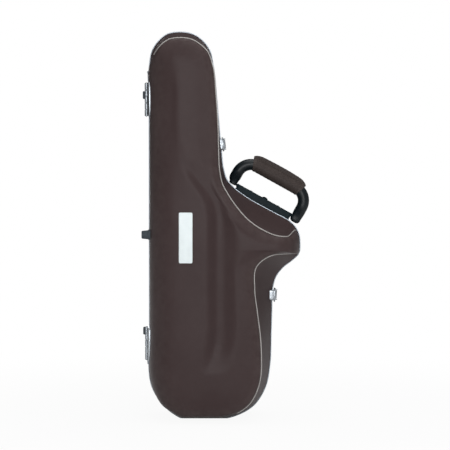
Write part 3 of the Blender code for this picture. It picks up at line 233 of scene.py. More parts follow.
class Paint(Wiring):
    """A material being made: a Principled shader with patterns on Object coordinates."""

    def __init__(self, name: str) -> None:
        """Starts the material under a name."""
        self.material = bpy.data.materials.new(name)
        self.material.use_nodes = True
        super().__init__(self.material.node_tree)
        self.shader = self.tree.nodes["Principled BSDF"]
        self.place = self.node("ShaderNodeTexCoord").outputs["Object"]

    def attribute(self, name: str) -> NodeSocket:
        """A number that the mesh carries at its points."""
        return self.node("ShaderNodeAttribute", attribute_name=name).outputs["Fac"]

    def speckle(self, size: float, detail: float, rough: float) -> NodeSocket:
        """Noise with features of one size in metres."""
        inputs = {"Vector": self.place, "Scale": 1 / size, "Detail": detail, "Roughness": rough}
        return self.node("ShaderNodeTexNoise", inputs).outputs["Fac"]

    def streaks(self, place: NodeSocket, scale: tuple[float, float, float]) -> NodeSocket:
        """Noise drawn out into lines by a different scale along each axis."""
        mapped = self.node("ShaderNodeMapping", {"Vector": place, "Scale": scale}).outputs[0]
        return self.node("ShaderNodeTexNoise", {"Vector": mapped, "Scale": 1.0, "Detail": 3.0}).outputs["Fac"]

    def mix(self, factor: Value, first: Colour | NodeSocket, second: Colour | NodeSocket) -> NodeSocket:
        """Two colours mixed by a factor."""
        first, second = (srgb(*c) if isinstance(c, tuple) else c for c in (first, second))
        return self.node("ShaderNodeMix", {0: factor, 6: first, 7: second}, data_type="RGBA").outputs[2]

    def sums(self, base: float, *terms: tuple[NodeSocket, float]) -> NodeSocket:
        """A base value plus factors times their weights."""
        total: Value = base
        for socket, weight in terms:
            total = self.calc("MULTIPLY_ADD", socket, weight, total)
        return total

    def finish(
        self,
        colour: NodeSocket,
        roughness: NodeSocket,
        bump: tuple[NodeSocket, float, float],
        uniform: dict[str, Value] | None = None,
    ) -> Material:
        """Links the shader's inputs.

        Args:
            colour: The base colour.
            roughness: The roughness.
            bump: Its height, its strength and its depth in metres.
            uniform: Values of the inputs that are the same all over.

        Returns:
            The finished material.
        """
        inputs = dict(zip(("Height", "Strength", "Distance"), bump))
        normal = self.node("ShaderNodeBump", inputs).outputs["Normal"]
        linked = {"Base Color": colour, "Roughness": roughness, "Normal": normal}
        for label, value in {**linked, **(uniform or {})}.items():
            self.feed(self.shader.inputs[label], value)
        return self.material


@dataclass(frozen=True, kw_only=True)
class Surface:
    """What the finishes share: a slot name, which this script does not read."""

    slot: str


@dataclass(frozen=True)
class GrainedLeather(Surface):
    """Pebbled leatherette: raised cells, fine pores, broad patina and rubbed edges."""

    dark: Colour
    light: Colour
    rubbed: Colour
    cell: float = 0.0011
    pore: float = 0.00035
    patch: float = 0.085
    roughness: float = 0.40
    relief: float = 0.00007

    def material(self, name: str) -> Material:
        """The material of this finish under a name."""
        paint = Paint(name)
        cells = paint.node("ShaderNodeTexVoronoi", {"Vector": paint.place, "Scale": 1 / self.cell})
        pebble = paint.fade(cells.outputs["Distance"], (0.15, 1.0), (0.75, 0.0))
        pores = paint.speckle(self.pore, 3.0, 0.6)
        patina = paint.speckle(self.patch, 4.0, 0.55)
        cloud = paint.speckle(self.patch / 7, 3.0, 0.6)
        tone = paint.sums(-0.12, (patina, 0.75), (cloud, 0.35), (pebble, 0.12))
        rub = paint.calc("MULTIPLY", paint.sums(-0.1, (cloud, 0.9)), paint.attribute("wear"), clamp=True)
        colour = paint.mix(rub, paint.mix(tone, self.dark, self.light), self.rubbed)
        gloss = paint.sums(self.roughness - 0.08, (pores, 0.10), (patina, 0.10), (rub, -0.10))
        grain = paint.sums(0.0, (pebble, 0.8), (pores, 0.25))
        return paint.finish(colour, gloss, (grain, 0.6, self.relief), {"Specular IOR Level": 0.12})


@dataclass(frozen=True)
class WornMetal(Surface):
    """Plated or anodised metal: fine brushing, smudges and dull patches."""

    colour: Colour
    dull: Colour
    roughness: float = 0.32
    brushed: bool = False

    def material(self, name: str) -> Material:
        """The material of this finish under a name."""
        paint = Paint(name)
        if self.brushed:
            along = paint.vector(paint.attribute("run"), paint.attribute("across"))
            grain = paint.streaks(along, (40.0, 6000.0, 1.0))
        else:
            grain = paint.speckle(0.00018, 2.0, 0.6)
        smudge = paint.speckle(0.012, 4.0, 0.6)
        pits = paint.fade(paint.speckle(0.0011, 3.0, 0.7), (0.58, 0.0), (0.70, 1.0))
        tone = paint.sums(-0.10, (smudge, 0.55), (grain, 0.15), (pits, 0.35))
        gloss = paint.sums(self.roughness - 0.10, (smudge, 0.16), (grain, 0.08), (pits, 0.12))
        relief = paint.sums(0.0, (grain, 0.6), (pits, -0.6))
        colour = paint.mix(tone, self.colour, self.dull)
        return paint.finish(colour, gloss, (relief, 0.35, 0.00003), {"Metallic": 1.0})


@dataclass(frozen=True)
class MouldedPlastic(Surface):
    """Moulded plastic or rubber: fine spark texture and handling marks."""

    colour: Colour
    light: Colour
    roughness: float = 0.42
    grain: float = 0.0005
    relief: float = 0.00004
    specular: float = 0.3

    def material(self, name: str) -> Material:
        """The material of this finish under a name."""
        paint = Paint(name)
        spark = paint.speckle(self.grain, 3.0, 0.65)
        marks = paint.speckle(0.018, 4.0, 0.6)
        tone = paint.sums(-0.15, (marks, 0.8), (spark, 0.2), (paint.attribute("wear"), 0.3))
        gloss = paint.sums(self.roughness - 0.12, (marks, 0.18), (spark, 0.08))
        colour = paint.mix(tone, self.colour, self.light)
        return paint.finish(colour, gloss, (spark, 0.6, self.relief), {"Specular IOR Level": self.specular})


@dataclass(frozen=True)
class Velour(Surface):
    """Plush lining: short pile with brushed patches and a soft sheen."""

    dark: Colour
    light: Colour
    sheen: Colour

    def material(self, name: str) -> Material:
        """The material of this finish under a name."""
        paint = Paint(name)
        pile = paint.speckle(0.00055, 3.0, 0.7)
        nap = paint.speckle(0.030, 3.0, 0.6)
        tufts = paint.speckle(0.0028, 3.0, 0.6)
        tone = paint.sums(-0.15, (nap, 0.7), (tufts, 0.35), (pile, 0.25))
        sheen = {"Sheen Weight": 0.55, "Sheen Roughness": 0.45, "Sheen Tint": srgb(*self.sheen)}
        relief = paint.sums(0.0, (pile, 0.7), (tufts, 0.6))
        colour = paint.mix(tone, self.dark, self.light)
        return paint.finish(colour, paint.sums(0.86, (pile, 0.1)), (relief, 0.8, 0.0004), sheen)


@dataclass(frozen=True)
class SatinPlate(Surface):
    """Pale satin metal with a fine grain across its long side."""

    colour: Colour
    shade: Colour

    def material(self, name: str) -> Material:
        """The material of this finish under a name."""
        paint = Paint(name)
        grain = paint.streaks(paint.place, (60.0, 60.0, 5200.0))
        smudge = paint.speckle(0.014, 3.0, 0.6)
        colour = paint.mix(paint.sums(-0.05, (smudge, 0.5), (grain, 0.35)), self.colour, self.shade)
        gloss = paint.sums(0.34, (smudge, 0.12), (grain, 0.08))
        return paint.finish(colour, gloss, (grain, 0.3, 0.00002), {"Metallic": 0.15})


@dataclass(frozen=True)
class TwistedThread(Surface):
    """Waxed sewing thread: fine diagonal strands."""

    dark: Colour
    light: Colour
    strand: float = 0.0006

    def material(self, name: str) -> Material:
        """The material of this finish under a name."""
        paint = Paint(name)
        turned = {"Vector": paint.place, "Rotation": (0.6, 0.5, 0.8)}
        inputs = {"Vector": paint.node("ShaderNodeMapping", turned).outputs[0], "Scale": 0.16 / self.strand}
        strands = paint.node("ShaderNodeTexWave", {**inputs, "Distortion": 1.5}).outputs["Fac"]
        soil = paint.speckle(0.02, 3.0, 0.6)
        colour = paint.mix(paint.sums(0.0, (strands, 0.5), (soil, 0.5)), self.dark, self.light)
        return paint.finish(colour, paint.sums(0.6, (soil, 0.15)), (strands, 0.6, 0.0001))


class Finish(Enum):
    """The finishes that pieces of the case are dressed in."""

    LEATHER = GrainedLeather((58, 45, 45), (70, 58, 58), (98, 88, 86), slot="leather")
    SIDE_LEATHER = GrainedLeather((48, 38, 37), (60, 51, 50), (90, 81, 79), patch=0.06, slot="leather")
    PIPING = GrainedLeather(
        (162, 159, 156), (200, 197, 194), (218, 216, 213), cell=0.0006, patch=0.03, slot="piping"
    )
    THREAD = TwistedThread((112, 106, 102), (160, 154, 149), slot="piping")
    DARK_THREAD = TwistedThread((44, 38, 36), (72, 64, 61), slot="wrap")
    ALUMINIUM = WornMetal((150, 158, 166), (114, 122, 130), 0.34, brushed=True, slot="aluminium")
    STEEL = WornMetal((176, 182, 188), (124, 130, 135), 0.28, slot="steel")
    RUBBER = MouldedPlastic((58, 66, 71), (82, 91, 97), 0.66, 0.0006, 0.00006, slot="rubber")
    HANDLE = MouldedPlastic((6, 14, 18), (16, 26, 30), 0.36, slot="handle")
    MOUNT = MouldedPlastic((14, 26, 31), (26, 40, 45), 0.46, specular=0.10, slot="handle")
    WRAP = GrainedLeather(
        (54, 46, 44), (72, 64, 61), (102, 94, 90), cell=0.0009, patch=0.018, roughness=0.5, slot="wrap"
    )
    PLUSH = Velour((44, 38, 40), (68, 60, 62), (150, 140, 142), slot="plush")
    PLATE = SatinPlate((231, 240, 241), (212, 221, 223), slot="plate")
    BOARD = MouldedPlastic((52, 50, 49), (70, 67, 65), 0.80, 0.0012, 0.0001, slot="leather")


def linked(name: str, data: bpy.types.ID) -> Object:
    """A new object of some data at the origin, linked to the scene."""
    made = bpy.data.objects.new(name, data)
    bpy.context.scene.collection.objects.link(made)
    return made


class Loft:
    """Rings of points joined by faces, with a finish number per face and values per point."""

    def __init__(self) -> None:
        """Starts with nothing in it."""
        self.points: list[Array] = []
        self.layers: dict[str, list[Array]] = {"wear": [], "run": [], "across": []}
        self.faces: list[tuple[int, ...]] = []
        self.slots: list[int] = []
        self.count = 0

    def ring(self, points: Sequence | Array, **values: float | Array) -> list[int]:
        """Adds points with their values of wear, run and across.

        Args:
            points: The points in the case frame.
            values: One number or one per point, by layer.

        Returns:
            The indices of the points.
        """
        block = np.array([tuple(p) for p in points], float).reshape(-1, 3)
        self.points.append(block)
        for name, layer in self.layers.items():
            layer.append(np.broadcast_to(np.asarray(values.get(name, 0.0), float), (len(block),)))
        first = self.count
        self.count += len(block)
        return list(range(first, self.count))

    def face(self, corners: Sequence[int], slot: int = 0) -> None:
        """Adds one face."""
        self.faces.append(tuple(corners))
        self.slots.append(slot)

    def band(self, lower: Sequence[int], upper: Sequence[int], slot: int | Array = 0) -> None:
        """Joins two rows of the same length with quads, and triangles where corners meet."""
        total = len(lower)
        for i in range(total):
            j = (i + 1) % total
            corners = tuple(dict.fromkeys((lower[i], lower[j], upper[j], upper[i])))
            if len(corners) > 2:
                self.face(corners, slot if isinstance(slot, int) else int(slot[i]))

    def bands(self, rows: Sequence[Sequence[int]], slot: int = 0) -> None:
        """Joins rows in order."""
        for lower, upper in zip(rows, rows[1:]):
            self.band(lower, upper, slot)

    def fan(self, ring: Sequence[int]) -> None:
        """Fills a ring with triangles about its middle."""
        corners = np.concatenate(self.points)[list(ring)]
        middle = self.ring([corners.mean(axis=0)])[0]
        for i, index in enumerate(ring):
            self.face((index, ring[(i + 1) % len(ring)], middle))

    def rings(self, rows: Sequence, closed: bool = False, flat: bool = False) -> Loft:
        """Adds rings joined in order.

        Args:
            rows: The points of each ring.
            closed: Whether the last ring joins the first, in place of two ends.
            flat: Whether each end is one face, in place of triangles about its middle.

        Returns:
            This loft.
        """
        rows = [self.ring(row) for row in rows]
        self.bands([*rows, rows[0]] if closed else rows)
        for end in () if closed else (rows[0], rows[-1]):
            if flat:
                self.face(end)
            else:
                self.fan(end)
        return self

    def add(self, other: Loft) -> Loft:
        """Takes over all of another loft, and returns this one."""
        first = self.count
        self.points += other.points
        for name, layer in self.layers.items():
            layer += other.layers[name]
        self.faces += [tuple(i + first for i in face) for face in other.faces]
        self.slots += other.slots
        self.count += other.count
        return self

    def tree(self) -> BVHTree:
        """A tree of the faces for finding where lines meet them."""
        points = np.concatenate(self.points)
        return BVHTree.FromPolygons([tuple(p) for p in points], self.faces)

    def mesh(self, name: str, origin: Vector) -> Mesh:
        """The mesh of the loft.

        Args:
            name: Name of the mesh.
            origin: Where the case frame's origin lies in the row frame.

        Returns:
            The mesh, its faces outward, smooth and sharp only at corners.
        """
        mesh = bpy.data.meshes.new(name)
        mesh.from_pydata((np.concatenate(self.points) + np.array(origin)).tolist(), [], self.faces)
        mesh.polygons.foreach_set("material_index", self.slots)
        for layer, blocks in self.layers.items():
            values = np.concatenate(blocks)
            if values.any():
                mesh.attributes.new(layer, "FLOAT", "POINT").data.foreach_set("value", values)
        shape = bmesh.new()
        shape.from_mesh(mesh)
        bmesh.ops.recalc_face_normals(shape, faces=shape.faces)
        shape.to_mesh(mesh)
        shape.free()
        mesh.shade_smooth()
        mesh.set_sharp_from_angle(angle=SHARP_ANGLE)
        return mesh


# Geometry Nodes: what repeats or follows a path


class Pattern(Wiring):
    """A Geometry Nodes tree with named inputs, from its input geometry to finished faces."""

    def __init__(self, name: str, **kinds: str) -> None:
        """Starts the tree.

        Args:
            name: Name of the tree.
            kinds: Float or Int, for each named input.
        """
        super().__init__(bpy.data.node_groups.new(name, "GeometryNodeTree"))
        interface = self.tree.interface
        interface.new_socket("Geometry", in_out="INPUT", socket_type="NodeSocketGeometry")
        for label, kind in kinds.items():
            interface.new_socket(label, in_out="INPUT", socket_type=f"NodeSocket{kind}")
        interface.new_socket("Geometry", in_out="OUTPUT", socket_type="NodeSocketGeometry")
        self.inputs = self.node("NodeGroupInput").outputs

    def curve(self) -> NodeSocket:
        """The edges of the input mesh as a curve."""
        return self.out("GeometryNodeMeshToCurve", {"Mesh": self.inputs["Geometry"]})

    def scaled(self, geometry: NodeSocket, *size: NodeSocket) -> NodeSocket:
        """Geometry stretched along X, Y and Z."""
        return self.out("GeometryNodeTransform", {"Geometry": geometry, "Scale": self.vector(*size)})

    def swept(self, curve: NodeSocket, sides: Value) -> Node:
        """A tube of the radius input along a curve."""
        profile = {"Resolution": sides, "Radius": self.inputs["radius"]}
        circle = self.out("GeometryNodeCurvePrimitiveCircle", profile)
        inputs = {"Curve": curve, "Profile Curve": circle, "Fill Caps": True}
        return self.node("GeometryNodeCurveToMesh", inputs)

    def facing(self) -> NodeSocket:
        """The rotation that turns Z to the points' facing attribute."""
        named = self.node("GeometryNodeInputNamedAttribute", {"Name": "facing"}, data_type="FLOAT_VECTOR")
        return self.out("FunctionNodeAlignRotationToVector", {"Vector": named.outputs["Attribute"]}, axis="Z")

    def on_points(self, points: NodeSocket, instance: NodeSocket, rotation: Value) -> NodeTree:
        """Ends the tree with copies of an instance on points."""
        inputs = {"Points": points, "Instance": instance, "Rotation": rotation}
        return self.end(self.out("GeometryNodeInstanceOnPoints", inputs))

    def end(self, geometry: NodeSocket) -> NodeTree:
        """Realizes and smooths the geometry, and returns the finished tree."""
        real = self.out("GeometryNodeRealizeInstances", {"Geometry": geometry})
        self.node("NodeGroupOutput", {"Geometry": self.out("GeometryNodeSetShadeSmooth", {"Geometry": real})})
        return self.tree


class Patterns:
    """The trees used on the case: cord, stitches, rivet heads, slotted heads and knuckles."""

    def __init__(self) -> None:
        """Builds every tree once."""
        self.cord = self.build_cord()
        self.stitches = self.build_stitches()
        self.rivets = self.build_rivets()
        self.screws = self.build_screws()
        self.knuckles = self.build_knuckles()

    def build_cord(self) -> NodeTree:
        """A round cord along the edges of a mesh."""
        pattern = Pattern("cord_along_seam", radius="Float", sides="Int")
        return pattern.end(pattern.swept(pattern.curve(), pattern.inputs["sides"]).outputs[0])

    def build_stitches(self) -> NodeTree:
        """Stitches at an even pitch along the edges of a mesh, lying on its facing attribute."""
        pattern = Pattern("stitches_along_seam", pitch="Float", length="Float", thickness="Float")
        out, inputs = pattern.out, pattern.inputs
        pitched = {"Curve": pattern.curve(), "Length": inputs["pitch"]}
        steps = out("GeometryNodeResampleCurve", pitched, mode="LENGTH")
        aligned = {"Rotation": pattern.facing(), "Vector": out("GeometryNodeInputTangent")}
        turned = out("FunctionNodeAlignRotationToVector", aligned, axis="X", pivot_axis="Z")
        bead = out("GeometryNodeMeshUVSphere", {"Segments": 8, "Rings": 6, "Radius": 0.5})
        stitch = pattern.scaled(bead, inputs["length"], inputs["thickness"], inputs["thickness"])
        return pattern.on_points(steps, stitch, turned)

    def build_rivets(self) -> NodeTree:
        """A flattened dome with a thin collar under it on each point."""
        pattern = Pattern("rivet_heads", radius="Float", height="Float")
        inputs = pattern.inputs
        size = (inputs["radius"], inputs["radius"], inputs["height"])
        ball = pattern.out("GeometryNodeMeshUVSphere", {"Segments": 24, "Rings": 12, "Radius": 0.82})
        disc = pattern.out("GeometryNodeMeshCylinder", {"Vertices": 24, "Radius": 1.0, "Depth": 0.5})
        joined = pattern.node("GeometryNodeJoinGeometry")
        for part in (ball, disc):
            pattern.feed(joined.inputs[0], pattern.scaled(part, *size))
        return pattern.on_points(inputs["Geometry"], joined.outputs[0], pattern.facing())

    def build_screws(self) -> NodeTree:
        """A domed head with a straight slot on each point."""
        pattern = Pattern("slotted_heads", radius="Float", height="Float", slot="Float")
        out, inputs = pattern.out, pattern.inputs
        radius, height = inputs["radius"], inputs["height"]
        ball = out("GeometryNodeMeshUVSphere", {"Segments": 28, "Rings": 14, "Radius": 1.0})
        block = out("GeometryNodeMeshCube", {"Size": (2.2, 1.0, 1.0)})
        bar = pattern.scaled(block, radius, inputs["slot"], height)
        raised = out("GeometryNodeTransform", {"Geometry": bar, "Translation": pattern.vector(z=height)})
        solids = {"Mesh 1": pattern.scaled(ball, radius, radius, height), "Mesh 2": raised}
        cut = out("GeometryNodeMeshBoolean", solids, operation="DIFFERENCE")
        return pattern.on_points(inputs["Geometry"], cut, pattern.facing())

    def build_knuckles(self) -> NodeTree:
        """A rolled hinge knuckle with softened ends on each point, along Z."""
        pattern = Pattern("hinge_knuckles", radius="Float", length="Float")
        out, calc, length = pattern.out, pattern.calc, pattern.inputs["length"]
        start, stop = (pattern.vector(z=calc("MULTIPLY", length, share)) for share in (-0.5, 0.5))
        line = out("GeometryNodeCurvePrimitiveLine", {"Start": start, "End": stop})
        steps = out("GeometryNodeResampleCurve", {"Curve": line, "Count": 41})
        off = calc("MULTIPLY_ADD", out("GeometryNodeSplineParameter"), 2.0, -1.0)
        edge = calc("POWER", calc("MULTIPLY", off, off), 14.0)
        girth = calc("MULTIPLY_ADD", edge, -0.16, 1.0)
        shaped = out("GeometryNodeSetCurveRadius", {"Curve": steps, "Radius": girth})
        swept = pattern.swept(shaped, 28)
        if "Scale" in swept.inputs:
            pattern.feed(swept.inputs["Scale"], girth)
        return pattern.on_points(pattern.inputs["Geometry"], swept.outputs[0], (0.0, 0.0, 0.0))


class Bench:
    """Where pieces are finished: the origin of the case frame, the materials and the patterns."""

    def __init__(self, origin: Vector) -> None:
        """Makes every material and pattern.

        Args:
            origin: Where the case frame's origin lies in the row frame.
        """
        self.origin = origin
        self.materials = {finish: finish.value.material(finish.name.lower()) for finish in Finish}
        self.patterns = Patterns()

    def piece(self, name: str, shape: Loft | Mesh, *finishes: Finish) -> Object:
        """Makes an object of a shape and gives it its finishes.

        Args:
            name: Name of the piece.
            shape: A loft in the case frame, or a mesh in the row frame.
            finishes: One finish for each slot number of the shape.

        Returns:
            The new object at the origin.
        """
        mesh = shape.mesh(name, self.origin) if isinstance(shape, Loft) else shape
        mesh.name = name
        mesh.materials.clear()
        for finish in finishes:
            mesh.materials.append(self.materials[finish])
        return linked(name, mesh)

    def settle(self, piece: Object, finish: Finish, body: str, *nodes: str) -> None:
        """Hides the nodes that a piece stands for, puts the piece on its body and logs it."""
        if nodes:
            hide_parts(*nodes)
        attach(piece, body)
        LOG.info("%s: %d faces on %s", piece.name, len(piece.data.polygons), body)

    def add(self, name: str, shape: Loft | Mesh, finish: Finish, body: str, *nodes: str) -> None:
        """Makes a piece with one finish and settles it on its body."""
        self.settle(self.piece(name, shape, finish), finish, body, *nodes)

    def add_heads(
        self, name: str, spots: Sequence[Vector], facing: Vector, body: str, *nodes: str, **sizes: float
    ) -> None:
        """Makes a piece of steel rivets, or of screws if a slot's width is among the sizes."""
        tree = self.patterns.screws if "slot" in sizes else self.patterns.rivets
        self.add(name, self.grow(tree, spots, facing, **sizes), Finish.STEEL, body, *nodes)

    def grow(
        self,
        tree: NodeTree,
        points: Sequence | Array,
        facing: Vector | Array | None = None,
        path: bool = False,
        **sizes: float,
    ) -> Mesh:
        """Runs a pattern on points or along a path.

        Args:
            tree: The pattern's tree.
            points: Points in the case frame.
            facing: The direction that the copies face, one for all or one per point.
            path: Whether the points are joined in order.
            sizes: Values of the tree's named inputs.

        Returns:
            The plain mesh that the tree makes.
        """
        mesh = bpy.data.meshes.new(tree.name)
        places = np.array([tuple(p) for p in points])
        edges = [(i, i + 1) for i in range(len(places) - 1)] if path else []
        mesh.from_pydata((places + np.array(self.origin)).tolist(), edges, [])
        if facing is not None:
            layer = mesh.attributes.new("facing", "FLOAT_VECTOR", "POINT")
            layer.data.foreach_set("vector", np.broadcast_to(np.array(facing, float), places.shape).ravel())
        host = linked(tree.name, mesh)
        modifier = host.modifiers.new(tree.name, "NODES")
        modifier.node_group = tree
        for item in tree.interface.items_tree:
            if item.in_out == "INPUT" and item.name in sizes:
                modifier[item.identifier] = sizes[item.name]
        bpy.context.view_layer.update()
        graph = bpy.context.evaluated_depsgraph_get()
        shown = host.evaluated_get(graph)
        made = bpy.data.meshes.new_from_object(shown, preserve_all_data_layers=True, depsgraph=graph)
        host.modifiers.remove(modifier)
        bpy.data.objects.remove(host, do_unlink=True)
        return made


# The outline and the shapes of both halves


@dataclass(frozen=True)
class CaseSizes:
    """Overall sizes that every sub-assembly shares, in metres."""

    length: float = 0.663
    width: float = 0.260
    lid_depth: float = 0.088
    base_depth: float = 0.080
    wall: float = 0.004
    clearance: float = 0.0003


def smoothed(rows: Array, per_row: int, closed: bool) -> Array:
    """Smooth values between the rows of a table.

    Args:
        rows: The rows; their first two columns measure how far apart they lie.
        per_row: How many steps each gap is cut into.
        closed: Whether the last row joins the first.

    Returns:
        The rows with the steps between them.
    """
    table = np.concatenate([rows[-1:], rows, rows[:2]]) if closed else rows
    gaps = np.maximum(np.linalg.norm(np.diff(table[:, :2], axis=0), axis=1), 1e-5)
    slopes = np.gradient(table, np.concatenate([[0.0], np.cumsum(gaps)]), axis=0)
    steps = np.diff(table, axis=0)
    slopes[1:-1][steps[:-1] * steps[1:] <= 0] = 0.0
    first, last = (1, len(table) - 2) if closed else (0, len(table) - 1)
    fine = []
    for i in range(first, last):
        for step in range(per_row):
            s = step / per_row
            fine.append(
                (2 * s**3 - 3 * s**2 + 1) * table[i]
                + (s**3 - 2 * s**2 + s) * gaps[i] * slopes[i]
                + (3 * s**2 - 2 * s**3) * table[i + 1]
                + (s**3 - s**2) * gaps[i] * slopes[i + 1]
            )
    if not closed:
        fine.append(table[-1])
    return np.array(fine)


def lookup(shares: Table) -> tuple[Array, Array]:
    """A table of two columns as smooth columns for interpolation."""
    fine = smoothed(np.array(shares), 8, closed=False)
    return fine[:, 0], fine[:, 1]


def smooth(share: float) -> float:
    """A share held within 0 and 1 and eased at both ends."""
    share = min(max(share, 0.0), 1.0)
    return share * share * (3 - 2 * share)


@dataclass(frozen=True)
class Place:
    """A local frame: an origin, t along the rim, n outwards and w across the case."""

    origin: Vector
    along: Vector
    outward: Vector
    across: Vector

    def at(self, t: float, n: float, w: float) -> Vector:
        """A point at local sizes."""
        return self.origin + self.along * t + self.outward * n + self.across * w


class Outline:
    """The outline of the case: the rows of the solids, and fine stations between them."""

    def __init__(self, sizes: CaseSizes, per_row: int = 6) -> None:
        """Builds the stations.

        Args:
            sizes: Overall sizes of the case.
            per_row: Fine stations for each row of the tables.
        """
        self.sizes = sizes
        self.per_row = per_row
        first = len(LEFT_CROWN_SHARES) + 1
        last = len(RIGHT_ROW_SHARES) - 1 - len(LEFT_FLOOR_SHARES)
        rim, seam, face, depth = SPINE_ROW_SHARES
        heights = [row[1] for row in RIGHT_ROW_SHARES[first:last]]
        spine = [(rim, z, seam, z, face, z, depth) for z in heights]
        left = [*LEFT_CROWN_SHARES, *spine, *LEFT_FLOOR_SHARES]
        rows = list(range(len(RIGHT_ROW_SHARES))) + list(range(len(left), 0, -1))
        shares = np.array([*RIGHT_ROW_SHARES, *left[::-1]])
        scale = np.array((sizes.width, sizes.length) * 3)
        plan = shares[:, :6] * scale
        self.rows_rim = plan[:, 0:2]
        self.rim = smoothed(plan[:, 0:2], per_row, closed=True)
        seams = smoothed(np.column_stack([plan[:, 2:4], shares[:, 6]]), per_row, closed=True)
        self.seam, self.seam_share = seams[:, :2], seams[:, 2]
        self.face = smoothed(plan[:, 4:6], per_row, closed=True)
        inward = self.face - self.rim
        self.inward = inward / np.linalg.norm(inward, axis=1)[:, None]
        marks = np.clip(np.array(rows) - FIRST_CENTRE_ROW, 0, len(CENTRE_SHARES) - 1).astype(float)
        following = np.roll(marks, -1)
        steps = np.arange(per_row) / per_row
        fine = marks[:, None] + (following - marks)[:, None] * steps[None, :]
        self.centre_marks = np.rint(fine.ravel() * per_row).astype(int)
        self.centres = smoothed(np.array(CENTRE_SHARES) * (sizes.width, sizes.length), per_row, closed=False)
        self.centre = self.centres[self.centre_marks]
        self.count = len(self.rim)
        self.is_right = np.arange(self.count) <= (len(RIGHT_ROW_SHARES) - 1) * per_row
        gaps = np.linalg.norm(self.rim - np.roll(self.rim, 1, axis=0), axis=1)
        gaps[0] = 0.0
        self.run = np.cumsum(gaps)

    def stations(self, first_row: int, last_row: int) -> Array:
        """Fine station numbers from one ray of the solids to another."""
        return np.arange(first_row * self.per_row, last_row * self.per_row + 1) % self.count

    def rim_place(self, share: float, left: bool) -> Place:
        """The place on the rim at a share of the length.

        Args:
            share: Share of the case length.
            left: Whether it is the spine side.

        Returns:
            The place, n pointing away from the case.
        """
        height = share * self.sizes.length
        turn = len(RIGHT_ROW_SHARES) - 1
        rows = self.rows_rim
        side = np.concatenate([rows[turn:], rows[:1]]) if left else rows[: turn + 1][::-1]
        index = next(i for i in range(len(side) - 1) if side[i][1] <= height < side[i + 1][1])
        low, high = side[index], side[index + 1]
        here = low + (high - low) * (height - low[1]) / (high[1] - low[1])
        along = Vector((high[0] - low[0], 0.0, high[1] - low[1])).normalized()
        outward = Vector((-along.z, 0.0, along.x)) if left else Vector((along.z, 0.0, -along.x))
        return Place(Vector((here[0], 0.0, here[1])), along, outward, Vector((0.0, 1.0, 0.0)))

    def spine_x(self) -> float:
        """The outermost place of the rim on the spine side beside the hinges."""
        return min(self.rim_place(share, left=True).origin.x for share in HINGE_PLACE_SHARES.values())


@dataclass
class HalfShape:
    """The form of the lid or the base on its side of the parting plane."""

    outline: Outline
    sign: int
    full_depth: float
    depth_shares: Table
    crown: float
    valley: float
    seam_inset: float = 1.0
    face_inset: float = 1.0
    least_seam_share: float = 0.0
    valley_flat: float = 0.0026
    valley_left: float = 0.023
    valley_right: float = 0.035

    def __post_init__(self) -> None:
        """Prepares the smooth tables of depth and of the valley's fade."""
        self.depths = lookup(self.depth_shares)
        self.fades = lookup(VALLEY_FADE_SHARES)

    def points(self, plan: Array, depth: float | Array) -> Array:
        """Points in the case frame from plan places and depths behind the parting plane."""
        return np.column_stack([plan[:, 0], self.sign * np.broadcast_to(depth, (len(plan),)), plan[:, 1]])

    def depth_at(self, heights: Array) -> Array:
        """Depth of the flat face at heights."""
        return self.full_depth * np.interp(heights / self.outline.sizes.length, *self.depths)

    def seam(self) -> tuple[Array, Array]:
        """Plan places and depths of the seam."""
        line = self.outline
        plan = line.rim + (line.seam - line.rim) * self.seam_inset
        return plan, np.maximum(line.seam_share, self.least_seam_share) * self.depth_at(plan[:, 1])

    def face(self) -> Array:
        """Plan places of the edge of the face."""
        return self.outline.rim + (self.outline.face - self.outline.rim) * self.face_inset

    def face_depth(self, plan: Array, centre: Array, reach: float, right: Array) -> Array:
        """Depth of the crowned face less the valley, at a share of the way to the centre."""
        depth = self.depth_at(plan[:, 1]) + self.crown * (1 - (1 - reach) ** 2)
        span = np.where(right, self.valley_right, self.valley_left)
        off = np.linalg.norm(plan - centre, axis=1)
        share = np.clip((off - self.valley_flat) / (span - self.valley_flat), 0.0, 1.0)
        fade = np.clip(np.interp(plan[:, 1] / self.outline.sizes.length, *self.fades), 0.0, 1.0)
        return depth - self.valley * fade * (1 + np.cos(np.pi * share)) / 2

    def level(self, inset: float, depth: float) -> Array:
        """A ring that follows the rim at an inset and a depth."""
        plan = self.outline.rim + self.outline.inward * inset
        plan[:, 1] = np.maximum(plan[:, 1], 0.0)
        return self.points(plan, depth)

    def skin(
        self, inset: float, sink: float, arcs: Sequence[float], reaches: Sequence[float]
    ) -> tuple[list[Array], Array]:
        """Rings of the skin from the seam to the last ring before the centre.

        Args:
            inset: How far the skin lies inside the outer one in plan.
            sink: How far it lies inside in depth.
            arcs: Shares of the rounding from the seam to the face.
            reaches: Shares of the way from the face's edge to the centre.

        Returns:
            The rings and the points of the centre line.
        """
        line = self.outline
        shift = line.inward * inset
        seam, seam_depth = self.seam()
        face = self.face()
        depth = self.depth_at(face[:, 1])
        rings = []
        for share in arcs:
            angle = math.pi / 2 * share
            plan = seam + (face - seam) * (1 - math.cos(angle)) + shift
            rings.append(self.points(plan, seam_depth + (depth - seam_depth) * math.sin(angle) - sink))
        for reach in reaches:
            plan = face + shift + (line.centre - face - shift) * reach
            rings.append(self.points(plan, self.face_depth(plan, line.centre, reach, line.is_right) - sink))
        right = np.ones(len(line.centres), bool)
        middle = self.points(line.centres, self.face_depth(line.centres, line.centres, 1.0, right) - sink)
        return rings, middle


